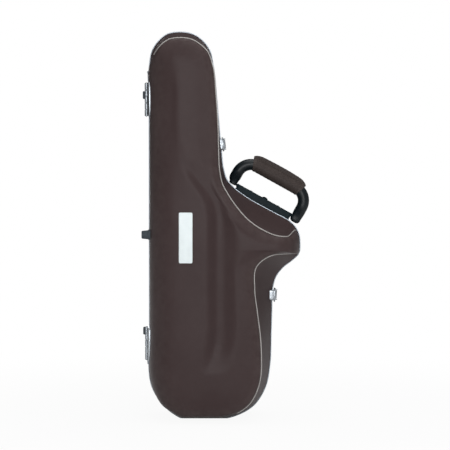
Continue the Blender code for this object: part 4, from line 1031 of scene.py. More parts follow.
def eased(rings: list[Array], first: int, last: int, passes: int) -> list[Array]:
    """Rings with the run between two of them smoothed from ring to ring."""
    stack = np.array(rings)
    for _ in range(passes):
        middle = (stack[first - 1 : last - 1] + stack[first + 1 : last + 1]) / 4 + stack[first:last] / 2
        stack[first:last] = middle
    return list(stack)


@dataclass(frozen=True)
class Swells:
    """Soft noise across the case: the size and height of each of its layers, and where it starts."""

    layers: tuple[Pair, ...]
    seed: float

    def push(self, rings: Sequence[Array], sign: int) -> list[Array]:
        """The rings of one side of the parting plane, pushed in and out."""
        offset = Vector((self.seed * sign, 0.0, 0.0))
        moved = []
        for ring in rings:
            lift = np.zeros(len(ring))
            for size, height in self.layers:
                lift += [height * noise.noise(Vector(p) / size + offset) for p in ring]
            shifted = ring.copy()
            shifted[:, 1] += sign * lift
            moved.append(shifted)
        return moved


LEATHER_SWELLS = Swells(((0.09, 0.0011), (0.028, 0.00035)), 3.0)
PLUSH_SWELLS = Swells(((0.06, 0.0022), (0.022, 0.0009)), 11.0)


def rounded(corners: Sequence[Pair], radius: float) -> list[Pair]:
    """A closed profile with each corner softened by a small curve."""
    points = []
    total = len(corners)
    for i, corner in enumerate(corners):
        here = np.array(corner)
        back = np.array(corners[i - 1]) - here
        ahead = np.array(corners[(i + 1) % total]) - here
        reach = [min(radius / np.linalg.norm(side), 0.45) for side in (back, ahead)]
        start, stop = here + back * reach[0], here + ahead * reach[1]
        points += [tuple(start), tuple((start + 2 * here + stop) / 4), tuple(stop)]
    return points


def circle(
    centre: Vector, first: Vector, second: Vector, sides: int, radii: Pair = (1.0, 1.0)
) -> list[Vector]:
    """Points round a centre, from the first direction towards the second."""
    angles = [math.tau * step / sides for step in range(sides)]
    wide, tall = radii
    return [centre + first * (wide * math.cos(a)) + second * (tall * math.sin(a)) for a in angles]


def arc(x: float, y: float, radius: float, turns: Sequence[float] | Array) -> list[Pair]:
    """Places on a circle about a middle, at angles."""
    return [(x + radius * math.cos(a), y + radius * math.sin(a)) for a in turns]


def tube(
    points: Sequence[Vector], radii: Sequence[Pair], sides: int, facing: Vector, closed: bool = False
) -> list[list[Vector]]:
    """Rings of a tube along points.

    Args:
        points: The line that the tube follows.
        radii: At each point, the radius towards the facing side and square to it.
        sides: Corners of each ring.
        facing: The side that stays where it is along the tube.
        closed: Whether the line is a loop.

    Returns:
        The rings.
    """
    count = len(points)
    rings = []
    side = facing
    for i, point in enumerate(points):
        before = points[i - 1] if i or closed else point
        after = points[(i + 1) % count] if i < count - 1 or closed else point
        along = (after - before).normalized()
        side = (side - along * side.dot(along)).normalized()
        rings.append(circle(point, side, along.cross(side), sides, radii[i]))
    return rings


def wire(line: Sequence[Vector], radius: float, sides: int, facing: Vector) -> Loft:
    """A closed loop of round wire."""
    return Loft().rings(tube(line, [(radius, radius)] * len(line), sides, facing, closed=True), closed=True)


def rod(place: Place, t_range: Pair, n: float, w: float, radius: float, edge: float) -> Loft:
    """A round rod along t with softened ends."""
    low, high = t_range
    spans = ((low, radius - edge), (low + edge * 0.3, radius - edge * 0.3), (low + edge, radius))
    spans += tuple((high + low - t, r) for t, r in spans[::-1])
    line = [place.at(t, n, w) for t, _ in spans]
    return Loft().rings(tube(line, [(r, r) for _, r in spans], 24, place.outward))


def extruded(place: Place, profile: Sequence[Pair], t_range: Pair, edge: float) -> Loft:
    """A plate cut to a profile of w and n and given a thickness along t, its edges softened."""
    outline = np.array(profile)
    middle = outline.mean(axis=0)
    reach = np.abs(outline - middle).max()
    low, high = t_range
    rows = []
    for t, inset in ((low, edge), (low + edge, 0.0), (high - edge, 0.0), (high, edge)):
        inner = middle + (outline - middle) * (1 - inset / reach)
        rows.append([place.at(t, n, w) for w, n in inner])
    return Loft().rings(rows, flat=True)


def mirrored(side: int, *ends: float) -> Pair:
    """A span given on one side, taken to the other if the side is -1, in rising order."""
    return tuple(sorted(side * end for end in ends))


def rounded_box(
    t_range: Pair, w_range: Pair, corner: float, inset: float = 0.0, steps: int = 6, straights: int = 5
) -> list[Pair]:
    """Points of t and w round a rectangle with round corners.

    Args:
        t_range: Its sides along t.
        w_range: Its sides across.
        corner: Radius of the corners.
        inset: How far the ring lies inside the rectangle.
        steps: Steps of each corner.
        straights: Steps of each straight side.

    Returns:
        The points in order.
    """
    radius = max(corner - inset, corner * 0.2)
    low_t, high_t = t_range[0] + inset + radius, t_range[1] - inset - radius
    low_w, high_w = w_range[0] + inset + radius, w_range[1] - inset - radius
    bends = []
    for turn, (t, w) in enumerate(((high_t, high_w), (low_t, high_w), (low_t, low_w), (high_t, low_w))):
        angles = [math.pi / 2 * (turn + step / steps) for step in range(steps + 1)]
        bends.append(arc(t, w, radius, angles))
    points = []
    for i, bend in enumerate(bends):
        (t, w), (next_t, next_w) = bend[-1], bends[(i + 1) % 4][0]
        shares = [k / straights for k in range(1, straights)]
        points += bend + [(t + (next_t - t) * share, w + (next_w - w) * share) for share in shares]
    return points


@dataclass
class Seat:
    """The outside of the case under the hardware: finds how high a plate has to sit."""

    tree: BVHTree
    gap: float = 0.00012
    start: float = 0.060
    bend_steps: int = 28
    bend_sides: int = 25
    bend_edge: float = 0.0004
    least_wall: float = 0.0009

    def height(self, place: Place, t: float, w: float) -> float | None:
        """Height along n at which a line towards the case meets it, or none."""
        hit = self.tree.ray_cast(place.at(t, self.start, w), -place.outward)
        return None if hit[0] is None else self.start - hit[3]

    def on_skin(self, points: Array) -> tuple[Array, Array]:
        """The nearest places of the case to points, and the outward directions there."""
        found = [self.tree.find_nearest(Vector(p)) for p in points]
        normals = [-hit[1] if hit[1].y * p[1] < 0 else hit[1] for hit, p in zip(found, points)]
        return np.array([tuple(hit[0]) for hit in found]), np.array([tuple(n) for n in normals])

    def plate(
        self, place: Place, t_range: Pair, w_range: Pair, face: float, corner: float, edge: float = 0.0004
    ) -> Loft:
        """A plate whose underside follows the case and whose face is flat.

        Args:
            place: Its local frame.
            t_range: Its sides along the rim.
            w_range: Its sides across the case.
            face: Height of its face.
            corner: Radius of its corners.
            edge: How far its edge is softened.

        Returns:
            The plate's shape.
        """
        outer = rounded_box(t_range, w_range, corner)
        heights = [self.height(place, t, w) for t, w in outer]
        lowest = min(h for h in heights if h is not None)
        seats = [min((lowest if h is None else h) + self.gap, face - edge * 2) for h in heights]
        rows = [[place.at(t, n, w) for (t, w), n in zip(outer, seats)]]
        for inset, drop in ((0.0, edge), (edge * 0.3, edge * 0.3), (edge, 0.0)):
            ring = rounded_box(t_range, w_range, corner, inset)
            rows.append([place.at(t, face - drop, w) for t, w in ring])
        return Loft().rings(rows)

    def bent_plate(
        self, place: Place, half: float, spans: Sequence[float], face: float, wall: float, corner: float
    ) -> Loft:
        """A plate that is flat beside its start and then bends down onto the case.

        Args:
            place: Its local frame.
            half: Half of its length along the rim.
            spans: Across the case, where it starts, where it begins to bend and where it ends.
            face: Height of its flat face.
            wall: How far it stands over the case after the bend.
            corner: Radius of its corners.

        Returns:
            The plate's shape.
        """
        start, bend, end = spans
        rows = []
        for step in range(self.bend_steps + 1):
            w = start + (end - start) * step / self.bend_steps
            near = min(abs(w - start), abs(end - w))
            cut = corner - math.sqrt(max(corner**2 - max(corner - near, 0.0) ** 2, 0.0))
            share = smooth((abs(w) - abs(bend)) / (abs(end) - abs(bend)))
            low, high = [], []
            for t in np.linspace(-1.0, 1.0, self.bend_sides) * (half - cut):
                seat = self.height(place, t, w)
                top = face * (1 - share) + (seat + wall) * share
                at_edge = step in (0, self.bend_steps) or abs(t) > half - cut - 1e-6
                low.append(place.at(t, min(seat + self.gap, top - self.least_wall), w))
                high.append(place.at(t, top - (self.bend_edge if at_edge else 0.0), w))
            rows.append([*low, *high[::-1]])
        return Loft().rings(rows)


# The shells with their rims, seal and linings


@dataclass
class Rims:
    """The aluminium valances of both halves and the rubber seal between them."""

    lid: HalfShape
    base: HalfShape
    flange: float = 0.008
    flange_wall: float = 0.001
    web: float = 0.0027
    web_width: float = 0.0058
    lip_wall: float = 0.0015
    lip_rise: float = 0.0030
    lip_gap: float = 0.0005
    groove_depth: float = 0.0011
    groove_width: float = 0.0026
    groove_edge: float = 0.0016
    bead: float = 0.00022
    proud: float = 0.0011
    softness: float = 0.00035

    def outside(self, start: float) -> list[Pair]:
        """The outer side of a section, a flange with two fine grooves in it, and its inner edge."""
        shares = (0.28, 0.31, 0.37, 0.40, 0.70, 0.73, 0.79, 0.82)
        sinks = (0.0, self.bead, self.bead, 0.0) * 2
        return [
            (-self.proud, start),
            *((sink - self.proud, self.flange * share) for share, sink in zip(shares, sinks)),
            (-self.proud, self.flange),
            (self.flange_wall, self.flange),
            (self.flange_wall, self.web),
        ]

    def lid_profile(self) -> list[Pair]:
        """L-shaped section of the lid's rim as insets and depths."""
        gap = self.lid.outline.sizes.clearance
        return rounded([*self.outside(gap), (self.web_width, self.web), (self.web_width, gap)], self.softness)

    def base_profile(self) -> list[Pair]:
        """The base's section, with the groove for the seal and the lip."""
        lip = self.web_width + self.lip_gap
        groove = self.groove_edge + self.groove_width
        inner = (
            (lip + self.lip_wall, self.web), (lip + self.lip_wall, -self.lip_rise),
            (lip, -self.lip_rise), (lip, 0.0), (groove, 0.0), (groove, self.groove_depth),
            (self.groove_edge, self.groove_depth), (self.groove_edge, 0.0),
        )
        return rounded([*self.outside(0.0), *inner], self.softness)

    def seal_profile(self) -> list[Pair]:
        """The rubber strip in the groove."""
        gap = self.base.outline.sizes.clearance
        near, far = self.groove_edge + gap, self.groove_edge + self.groove_width - gap
        bottom = self.groove_depth - gap
        return rounded(((near, 0.0), (near, bottom), (far, bottom), (far, 0.0)), self.softness)

    def swept(self, half: HalfShape, profile: Sequence[Pair]) -> Loft:
        """A closed rim from a profile of insets and depths."""
        shape = Loft()
        travel = 0.0
        rows = []
        for i, (inset, depth) in enumerate(profile):
            travel += math.dist(profile[i], profile[i - 1]) if i else 0.0
            rows.append(shape.ring(half.level(inset, depth), run=half.outline.run, across=travel))
        shape.bands([*rows, rows[0]])
        return shape

    def dress(self, bench: Bench) -> list[Loft]:
        """Makes both rims and the seal, and returns the shapes of the rims."""
        made = []
        sections = (("lid", self.lid, self.lid_profile()), ("base", self.base, self.base_profile()))
        for name, half, profile in sections:
            made.append(self.swept(half, profile))
            bench.add(f"{name}_valance", made[-1], Finish.ALUMINIUM, name, f"{name}_rim")
        seal = self.swept(self.base, self.seal_profile())
        bench.add("valance_seal", seal, Finish.RUBBER, "base", "rim_seal")
        return made


def worn(off: float, wear: Pair) -> float:
    """Wear at a number of rings away from where it peaks, from its peak and its spread."""
    peak, spread = wear
    return math.exp(-((off / spread) ** 2)) * peak


@dataclass
class Shell:
    """One moulded half covered with leatherette, rabbeted for its rim."""

    name: str
    shape: HalfShape
    rims: Rims
    groove: float = 0.0007
    bulge: float = 0.0002
    wall_shares: tuple[float, ...] = (0.02, 0.08, 0.2, 0.34, 0.48, 0.62, 0.76, 0.88, 0.95, 0.982)
    arcs: tuple[float, ...] = (0.0, 0.03, 0.08, 0.15, 0.24, 0.34, 0.45, 0.56, 0.67, 0.78, 0.89, 1.0)
    face_steps: int = 15
    panel_rings: int = 3
    edge_wear: float = 0.5
    seam_wear: Pair = (0.8, 2.0)
    corner_wear: Pair = (0.5, 4.0)
    corner_back: int = 5

    def piped_share(self) -> Array:
        """1 at stations whose seam is piped and 0 elsewhere."""
        share = np.zeros(self.shape.outline.count)
        for first, last in PIPED_ROWS.values():
            share[self.shape.outline.stations(first, last)] = 1.0
        return share

    def skin_rings(self, land: float, piped: Array) -> tuple[list[Array], Array]:
        """Rings of the side wall and the face, and the centre points.

        Args:
            land: Depth at which the side wall starts.
            piped: 1 at stations whose seam is piped.

        Returns:
            The rings and the centre points.
        """
        half, line = self.shape, self.shape.outline
        reaches = [1 - (1 - step / self.face_steps) ** 1.2 for step in range(1, self.face_steps)]
        skin, middle = half.skin(0.0, 0.0, self.arcs, reaches)
        seam, seam_depth = half.seam()
        walls = []
        for share in self.wall_shares:
            plan = line.rim + (seam - line.rim) * share - line.inward * self.bulge * math.sin(math.pi * share)
            walls.append(half.points(plan, land + (seam_depth - land) * share))
        seam_at = len(walls)
        turn = seam_at + len(self.arcs) - 1
        body = eased(walls + skin, turn - 4, turn + 5, 5)
        loose = eased(body, seam_at - 3, seam_at + 4, 6)
        body = [ring * piped[:, None] + soft * (1 - piped[:, None]) for ring, soft in zip(body, loose)]
        sunk = half.points(line.inward * self.groove, -self.groove / 2)
        body[seam_at] = body[seam_at] + sunk * piped[:, None]
        face_at = seam_at + self.panel_rings
        body[face_at:] = LEATHER_SWELLS.push(body[face_at:], half.sign)
        return body, LEATHER_SWELLS.push([middle], half.sign)[0]

    def build(self) -> Loft:
        """The shell's closed form: slot 0 face, slot 1 side panels, slot 2 inside."""
        half, sizes = self.shape, self.shape.outline.sizes
        edge, land = self.rims.web + sizes.clearance, self.rims.flange + sizes.clearance
        rabbet = self.rims.flange_wall + sizes.clearance
        piped = self.piped_share()
        body, middle = self.skin_rings(land, piped)
        seam_at = len(self.wall_shares)
        turn = seam_at + len(self.arcs) - 1
        shape = Loft()
        rows = [shape.ring(half.level(rabbet, edge)), shape.ring(half.level(rabbet, land))]
        rows.append(shape.ring(half.level(0.0, land), wear=self.edge_wear))
        for index, ring in enumerate(body):
            near = worn(index - seam_at, self.seam_wear)
            corner = worn(index - turn + self.corner_back, self.corner_wear)
            rows.append(shape.ring(ring, wear=near * piped + corner))
        panels = seam_at + self.panel_rings
        for lower, upper in zip(rows[:panels], rows[1:]):
            shape.band(lower, upper, piped)
        shape.bands(rows[panels:])
        self.close(shape, rows[-1], middle, 0)
        wall = sizes.wall
        lining, lining_middle = half.skin(wall, wall, BACK_ARCS, BACK_REACHES)
        inner = [shape.ring(ring) for ring in [half.level(wall, edge), *lining]]
        shape.bands(inner, 2)
        self.close(shape, inner[-1], lining_middle, 2)
        shape.band(rows[0], inner[0], 2)
        return shape

    def close(self, shape: Loft, ring: list[int], middle: Array, slot: int) -> None:
        """Joins the innermost ring to the centre line."""
        centre = shape.ring(middle)
        shape.band(ring, [centre[mark] for mark in self.shape.outline.centre_marks], slot)

    def dress(self, bench: Bench) -> Loft:
        """Makes the shell's piece, and returns its shape."""
        loft = self.build()
        finishes = (Finish.LEATHER, Finish.SIDE_LEATHER, Finish.BOARD)
        piece = bench.piece(f"{self.name}_leather_shell", loft, *finishes)
        bench.settle(piece, Finish.LEATHER, self.name, f"{self.name}_shell")
        return loft


@dataclass
class SeamPiping:
    """The pale piping round each side panel and the stitching beside it."""

    name: str
    shape: HalfShape
    seat: Seat
    radius: float = 0.0009
    sides: int = 14
    lean: float = 0.34
    lift_share: float = 0.55
    stitch_pitch: float = 0.0042
    stitch_length: float = 0.0029
    stitch_thickness: float = 0.0006
    stitch_arc: float = 0.16

    def dress(self, bench: Bench) -> None:
        """Makes the piping and the stitches of both seams."""
        half, line = self.shape, self.shape.outline
        seam, depth = half.seam()
        row = half.skin(0.0, 0.0, (self.stitch_arc,), ())[0][0]
        leans = np.full(line.count, half.sign * self.lean)
        lean = np.column_stack([-line.inward[:, 0], leans, -line.inward[:, 1]])
        lean /= np.linalg.norm(lean, axis=1)[:, None]
        path = half.points(seam, depth) + lean * self.radius * self.lift_share
        sizes = {"pitch": self.stitch_pitch, "length": self.stitch_length, "thickness": self.stitch_thickness}
        for label, rows in PIPED_ROWS.items():
            picks, patterns = line.stations(*rows), bench.patterns
            cord = bench.grow(patterns.cord, path[picks], path=True, radius=self.radius, sides=self.sides)
            node = f"{self.name}_piping_{label}"
            bench.add(f"{self.name}_seam_piping_{label}", cord, Finish.PIPING, self.name, node)
            places, facing = self.seat.on_skin(row[picks[2:-2]])
            thread = bench.grow(patterns.stitches, places, facing, path=True, **sizes)
            bench.add(f"{self.name}_seam_stitches_{label}", thread, Finish.THREAD, self.name)


@dataclass
class Lining:
    """The padded plush lining of one half: a soft roll round the mouth and a hollow for the instrument."""

    name: str
    shape: HalfShape
    top_inset: float = 0.0096
    pad: float = 0.019
    floor: float = 0.016
    sink: float = 0.0005
    gap: float = 0.0006
    crown: float = 0.0016
    roll_shares: tuple[float, ...] = (0.0, 0.08, 0.2, 0.35, 0.5, 0.65, 0.8, 0.92, 1.0)
    wall_share: float = 0.14
    floor_share: float = 0.36
    wall_depth_share: float = 0.72

    def floor_depth(self, heights: Array) -> Array:
        """Depth of the hollow's floor at heights, without the valley."""
        return self.shape.depth_at(heights) - self.floor - self.shape.outline.sizes.wall

    def hollow(self) -> tuple[list[Array], Array]:
        """Rings from the outer edge over the roll and down to the floor, and the centre points."""
        half, line = self.shape, self.shape.outline
        rings = [half.level(self.top_inset, self.sink + self.crown * 2)]
        for share in self.roll_shares:
            drop = self.sink + self.crown * (1 - math.sin(math.pi * (0.08 + 0.84 * share)) ** 0.6)
            rings.append(half.level(self.top_inset + self.pad * share, drop))
        mouth = line.rim + line.inward * (self.top_inset + self.pad)
        to_centre = line.centre - mouth
        floor = self.floor_depth(line.rim[:, 1])
        keys = (
            (0.0, np.full(line.count, self.sink)),
            (self.wall_share, floor * self.wall_depth_share),
            (self.floor_share, floor - half.valley),
            (1.0, self.floor_depth(line.centre[:, 1]) - half.valley),
        )
        for (near, near_depth), (far, far_depth), steps in zip(keys, keys[1:], (6, 5, 8)):
            for step in range(1, steps + (far < 1.0)):
                share = step / steps
                plan = mouth + to_centre * (near + (far - near) * share)
                rings.append(half.points(plan, near_depth + (far_depth - near_depth) * share))
        rolls = len(self.roll_shares)
        rings = eased(rings, rolls - 1, rolls + 12, 5)
        rings[rolls + 2 :] = PLUSH_SWELLS.push(rings[rolls + 2 :], half.sign)
        depth = self.floor_depth(line.centres[:, 1]) - half.valley
        return rings, PLUSH_SWELLS.push([half.points(line.centres, depth)], half.sign)[0]

    def build(self) -> Loft:
        """The lining's closed form, its back following the shell."""
        line = self.shape.outline
        inset = line.sizes.wall + self.gap
        shape = Loft()
        edges = []
        back = self.shape.skin(inset, inset, BACK_ARCS, BACK_REACHES)
        for rings, middle in (self.hollow(), back):
            rows = [shape.ring(ring) for ring in rings]
            shape.bands(rows)
            centre = shape.ring(middle)
            shape.band(rows[-1], [centre[mark] for mark in line.centre_marks])
            edges.append(rows[0])
        shape.band(*edges)
        return shape

    def dress(self, bench: Bench) -> None:
        """Makes the lining's piece."""
        piece = bench.piece(f"{self.name}_plush_lining", self.build(), Finish.PLUSH)
        bench.settle(piece, Finish.PLUSH, self.name, f"{self.name}_liner")


@dataclass
class FoamBlock:
    """A plush-covered foam block that holds the instrument, puffed by a cloth simulation."""

    which: str
    voxel: float = 0.004
    shrink: float = 0.0012
    pressure: float = 4.0
    cap: float = 0.0030
    frames: int = 20

    def blank(self, node: Object) -> Object:
        """A remeshed, slightly smaller copy of the block's solid."""
        shape = bmesh.new()
        shape.from_mesh(node.data)
        bmesh.ops.remove_doubles(shape, verts=shape.verts, dist=1e-6)
        mesh = bpy.data.meshes.new(f"{self.which}_foam_block")
        shape.to_mesh(mesh)
        shape.free()
        mesh.materials.clear()
        made = linked(mesh.name, mesh)
        remesh = made.modifiers.new("voxels", "REMESH")
        remesh.mode, remesh.voxel_size = "VOXEL", self.voxel
        relax = made.modifiers.new("relax", "SMOOTH")
        relax.factor, relax.iterations = 0.5, 2
        bpy.context.view_layer.update()
        graph = bpy.context.evaluated_depsgraph_get()
        made.data = bpy.data.meshes.new_from_object(made.evaluated_get(graph))
        made.modifiers.clear()
        for vertex in made.data.vertices:
            vertex.co -= vertex.normal * self.shrink
        return made

    def puff(self, made: Object) -> None:
        """Inflates the block as cloth and caps how far each point moves."""
        before = np.array([v.co for v in made.data.vertices])
        cloth = made.modifiers.new("puff", "CLOTH")
        cloth.settings.use_pressure = True
        cloth.settings.uniform_pressure_force = self.pressure
        cloth.settings.quality = 5
        cloth.settings.effector_weights.gravity = 0.0
        cloth.point_cache.frame_start, cloth.point_cache.frame_end = 1, self.frames
        for frame in range(1, self.frames + 1):
            bpy.context.scene.frame_set(frame)
        graph = bpy.context.evaluated_depsgraph_get()
        after = np.array([v.co for v in made.evaluated_get(graph).data.vertices])
        made.modifiers.clear()
        bpy.context.scene.frame_set(1)
        move = after - before
        length = np.linalg.norm(move, axis=1)[:, None]
        move *= np.minimum(1.0, self.cap / np.maximum(length, 1e-9))
        for vertex, place in zip(made.data.vertices, before + move):
            vertex.co = Vector(place)

    def dress(self, bench: Bench, node: Object) -> None:
        """Makes the block's piece from its solid."""
        made = self.blank(node)
        self.puff(made)
        made.data.materials.append(bench.materials[Finish.PLUSH])
        made.data.shade_smooth()
        fine = made.modifiers.new("fine", "SUBSURF")
        fine.levels = fine.render_levels = 1
        bench.settle(made, Finish.PLUSH, "base", f"{self.which}_block")


# Hardware


@dataclass
class Fitting:
    """What the hardware shares: the case's outline and the outside that it sits on."""

    outline: Outline
    seat: Seat


def spine_place(x: float, y: float, z: float) -> Place:
    """A local frame that faces away from the spine, t upwards and w towards the back."""
    return Place(Vector((x, y, z)), Vector((0, 0, 1)), Vector((-1, 0, 0)), Vector((0, 1, 0)))


@dataclass
class Hinge(Fitting):
    """A five-knuckle hinge on the spine: two leaves, rolled knuckles, pin and rivets."""

    which: str
    offset: float = 0.0050
    length: float = 0.057
    barrel: float = 0.00279
    pin: float = 0.0015
    pin_head: float = 0.0007
    leaf_face: float = 0.0023
    leaf_start: float = 0.0019
    leaf_end: float = 0.017
    leaf_bend: float = 0.013
    leaf_wall: float = 0.0020
    lid_leaf_end: float = 0.029
    corner: float = 0.0028
    knuckles: int = 5
    knuckle_gap: float = 0.0004
    rivet_inset: float = 0.009
    rivet_radius: float = 0.0026
    rivet_height: float = 0.0011
    tang_share: float = 0.97
    tang_edge: float = 0.0001
    tang: Table = (
        (0.0036, -0.0023), (0.0032, -0.0012), (0.0025, -0.0003), (0.0012, -0.0008),
        (0.0017, -0.0034), (0.0036, -0.0034),
    )

    def leaf(self, place: Place, body: str, side: int) -> Loft:
        """The flat part of one leaf."""
        half = self.length / 2
        if body == "lid":
            reach = (-self.leaf_start, -self.leaf_bend, -self.lid_leaf_end)
            return self.seat.bent_plate(place, half, reach, -self.leaf_face, self.leaf_wall, self.corner)
        span = mirrored(side, self.leaf_start, self.leaf_end)
        return self.seat.plate(place, (-half, half), span, -self.leaf_face, self.corner)

    def dress(self, bench: Bench) -> None:
        """Makes all pieces of the hinge."""
        height = HINGE_PLACE_SHARES[self.which] * self.outline.sizes.length
        place = spine_place(self.outline.spine_x() - self.offset, 0.0, height)
        half = self.length / 2
        pitch = self.length / self.knuckles
        reach = (pitch - self.knuckle_gap) / 2
        name = f"{self.which}_hinge"
        for body, side, first in (("lid", -1, 1), ("base", 1, 0)):
            leaf = self.leaf(place, body, side)
            middles = [-half + (i + 0.5) * pitch for i in range(first, self.knuckles, 2)]
            tang = [(side * w, n) for w, n in self.tang]
            for middle in middles:
                span = (middle - reach * self.tang_share, middle + reach * self.tang_share)
                leaf.add(extruded(place, tang, span, self.tang_edge))
            node = f"{name}_{body}_leaf"
            bench.add(f"{name}_plate_{body}", leaf, Finish.STEEL, body, node)
            points = [place.at(t, 0.0, 0.0) for t in middles]
            rolled = bench.grow(bench.patterns.knuckles, points, radius=self.barrel, length=reach * 2)
            bench.add(f"{name}_knuckles_{body}", rolled, Finish.STEEL, body, node)
            across = side * (self.leaf_start + self.leaf_end) / 2
            spots = [place.at(end * (half - self.rivet_inset), -self.leaf_face, across) for end in (-1, 1)]
            nodes = [f"{name}_{body}_rivet_{end}" for end in ("low", "high")]
            sizes = {"radius": self.rivet_radius, "height": self.rivet_height}
            bench.add_heads(f"{name}_rivets_{body}", spots, place.outward, body, *nodes, **sizes)
        reach = half + self.pin_head
        pin = rod(place, (-reach, reach), 0.0, 0.0, self.pin, self.pin_head)
        bench.add(f"{name}_pin_rod", pin, Finish.STEEL, "base", f"{name}_pin")


@dataclass
class DrawLatch(Fitting):
    """A draw latch on the right side: plate with ears, pin, lever and bail on the base, catch on the lid."""

    which: str
    half_width: float = 0.011
    plate_start: float = 0.0015
    plate_end: float = 0.034
    plate_face: float = 0.0016
    plate_corner: float = 0.003
    ear: float = 0.008
    ear_wall: float = 0.0015
    ear_start: float = 0.0025
    ear_end: float = 0.0095
    ear_round: float = 0.0031
    pivot_depth: float = 0.006
    pivot_height: float = 0.0055
    pin: float = 0.0012
    pin_head: float = 0.0004
    lever_barrel: float = 0.0024
    lever_half: float = 0.0074
    bail: float = 0.0011
    bail_depth: float = 0.014
    bail_reach: float = 0.025
    bail_half: float = 0.0112
    bail_height: float = 0.0039
    bail_corner: float = 0.0032
    keeper_half: float = 0.0046
    catch_half: float = 0.009
    catch_start: float = 0.002
    catch_end: float = 0.017
    catch_face: float = 0.0024
    catch_corner: float = 0.002
    hook_inset: float = 0.0015
    rivet_inset: float = 0.0036
    rivet_radius: float = 0.0025
    rivet_height: float = 0.0010
    edge: float = 0.0003
    wide_edge: float = 0.0004
    arm: Table = (
        (0.0046, 0.0057), (0.0080, 0.0056), (0.0180, 0.0056), (0.0262, 0.0056), (0.0290, 0.0059),
        (0.0310, 0.0066), (0.0321, 0.0076), (0.0314, 0.0083), (0.0298, 0.0080), (0.0275, 0.0076),
        (0.0180, 0.0079), (0.0100, 0.0080), (0.0060, 0.0079),
    )
    keeper: Table = (
        (0.0120, 0.0060), (0.0120, 0.0040), (0.0124, 0.0029), (0.0133, 0.0024), (0.0147, 0.0024),
        (0.0156, 0.0029), (0.0160, 0.0040), (0.0160, 0.0060),
    )
    hook: Table = (
        (-0.0163, 0.0014), (-0.0163, 0.0050), (-0.0160, 0.0055), (-0.0154, 0.0057), (-0.0142, 0.0057),
        (-0.0134, 0.0055), (-0.0130, 0.0048), (-0.0128, 0.0014),
    )

    def ear_profile(self) -> list[Pair]:
        """The outline of an ear: a foot on the plate and a round top about the pin."""
        low = self.plate_face / 2
        angles = [math.radians(200 - 220 * step / 14) for step in range(15)]
        top = arc(self.pivot_depth, self.pivot_height, self.ear_round, angles)
        return [(self.ear_start, low), *top, (self.ear_end, low)]

    def plate(self, place: Place) -> Loft:
        """The back plate with its two ears."""
        width = (-self.half_width, self.half_width)
        plate = self.seat.plate(
            place, width, (self.plate_start, self.plate_end), self.plate_face, self.plate_corner
        )
        for side in (-1, 1):
            span = mirrored(side, self.ear, self.ear + self.ear_wall)
            plate.add(extruded(place, self.ear_profile(), span, self.edge))
        return plate

    def pivot(self, place: Place, half: float, radius: float, edge: float) -> Loft:
        """A rod about the lever's axis."""
        return rod(place, (-half, half), self.pivot_height, self.pivot_depth, radius, edge)

    def lever(self, place: Place) -> Loft:
        """The lever: a barrel, an arm and the keeper that carries the bail."""
        lever = self.pivot(place, self.lever_half, self.lever_barrel, self.edge)
        reach = self.lever_half - self.edge
        lever.add(extruded(place, self.arm, (-reach, reach), self.wide_edge))
        return lever.add(extruded(place, self.keeper, (-self.keeper_half, self.keeper_half), self.edge))

    def loop(self, place: Place) -> Loft:
        """The wire bail."""
        span = (self.bail_depth - self.bail_reach, self.bail_depth)
        box = rounded_box((-self.bail_half, self.bail_half), span, self.bail_corner)
        return wire([place.at(t, self.bail_height, w) for t, w in box], self.bail, 14, place.outward)

    def catch(self, place: Place) -> Loft:
        """The catch on the lid: a plate with a hook."""
        half = self.catch_half
        catch = self.seat.plate(
            place, (-half, half), (-self.catch_end, -self.catch_start), self.catch_face, self.catch_corner
        )
        span = (-half + self.hook_inset, half - self.hook_inset)
        return catch.add(extruded(place, self.hook, span, self.wide_edge))

    def dress(self, bench: Bench) -> None:
        """Makes all pieces of the latch."""
        place = self.outline.rim_place(LATCH_PLACE_SHARES[self.which], left=False)
        name = f"{self.which}_latch"
        bench.add(f"{name}_back_plate", self.plate(place), Finish.STEEL, "base", f"{name}_plate")
        across = (self.bail_depth + self.plate_end) / 2
        reach = self.half_width - self.rivet_inset
        spots = [place.at(side * reach, self.plate_face, across) for side in (-1, 1)]
        sizes = {"radius": self.rivet_radius, "height": self.rivet_height}
        bench.add_heads(f"{name}_rivets", spots, place.outward, "base", **sizes)
        pin = self.pivot(place, self.ear + self.ear_wall + self.pin_head, self.pin, self.pin_head)
        bench.add(f"{name}_pivot_pin", pin, Finish.STEEL, "base", f"{name}_pin")
        lever, bail = (f"{self.which}_{body}" for body in ("lever", "bail"))
        bench.add(f"{name}_draw_lever", self.lever(place), Finish.STEEL, lever, f"{name}_lever")
        bench.add(f"{name}_wire_bail", self.loop(place), Finish.STEEL, bail, f"{name}_bail")
        bench.add(f"{name}_hook_plate", self.catch(place), Finish.STEEL, "lid", f"{name}_catch")


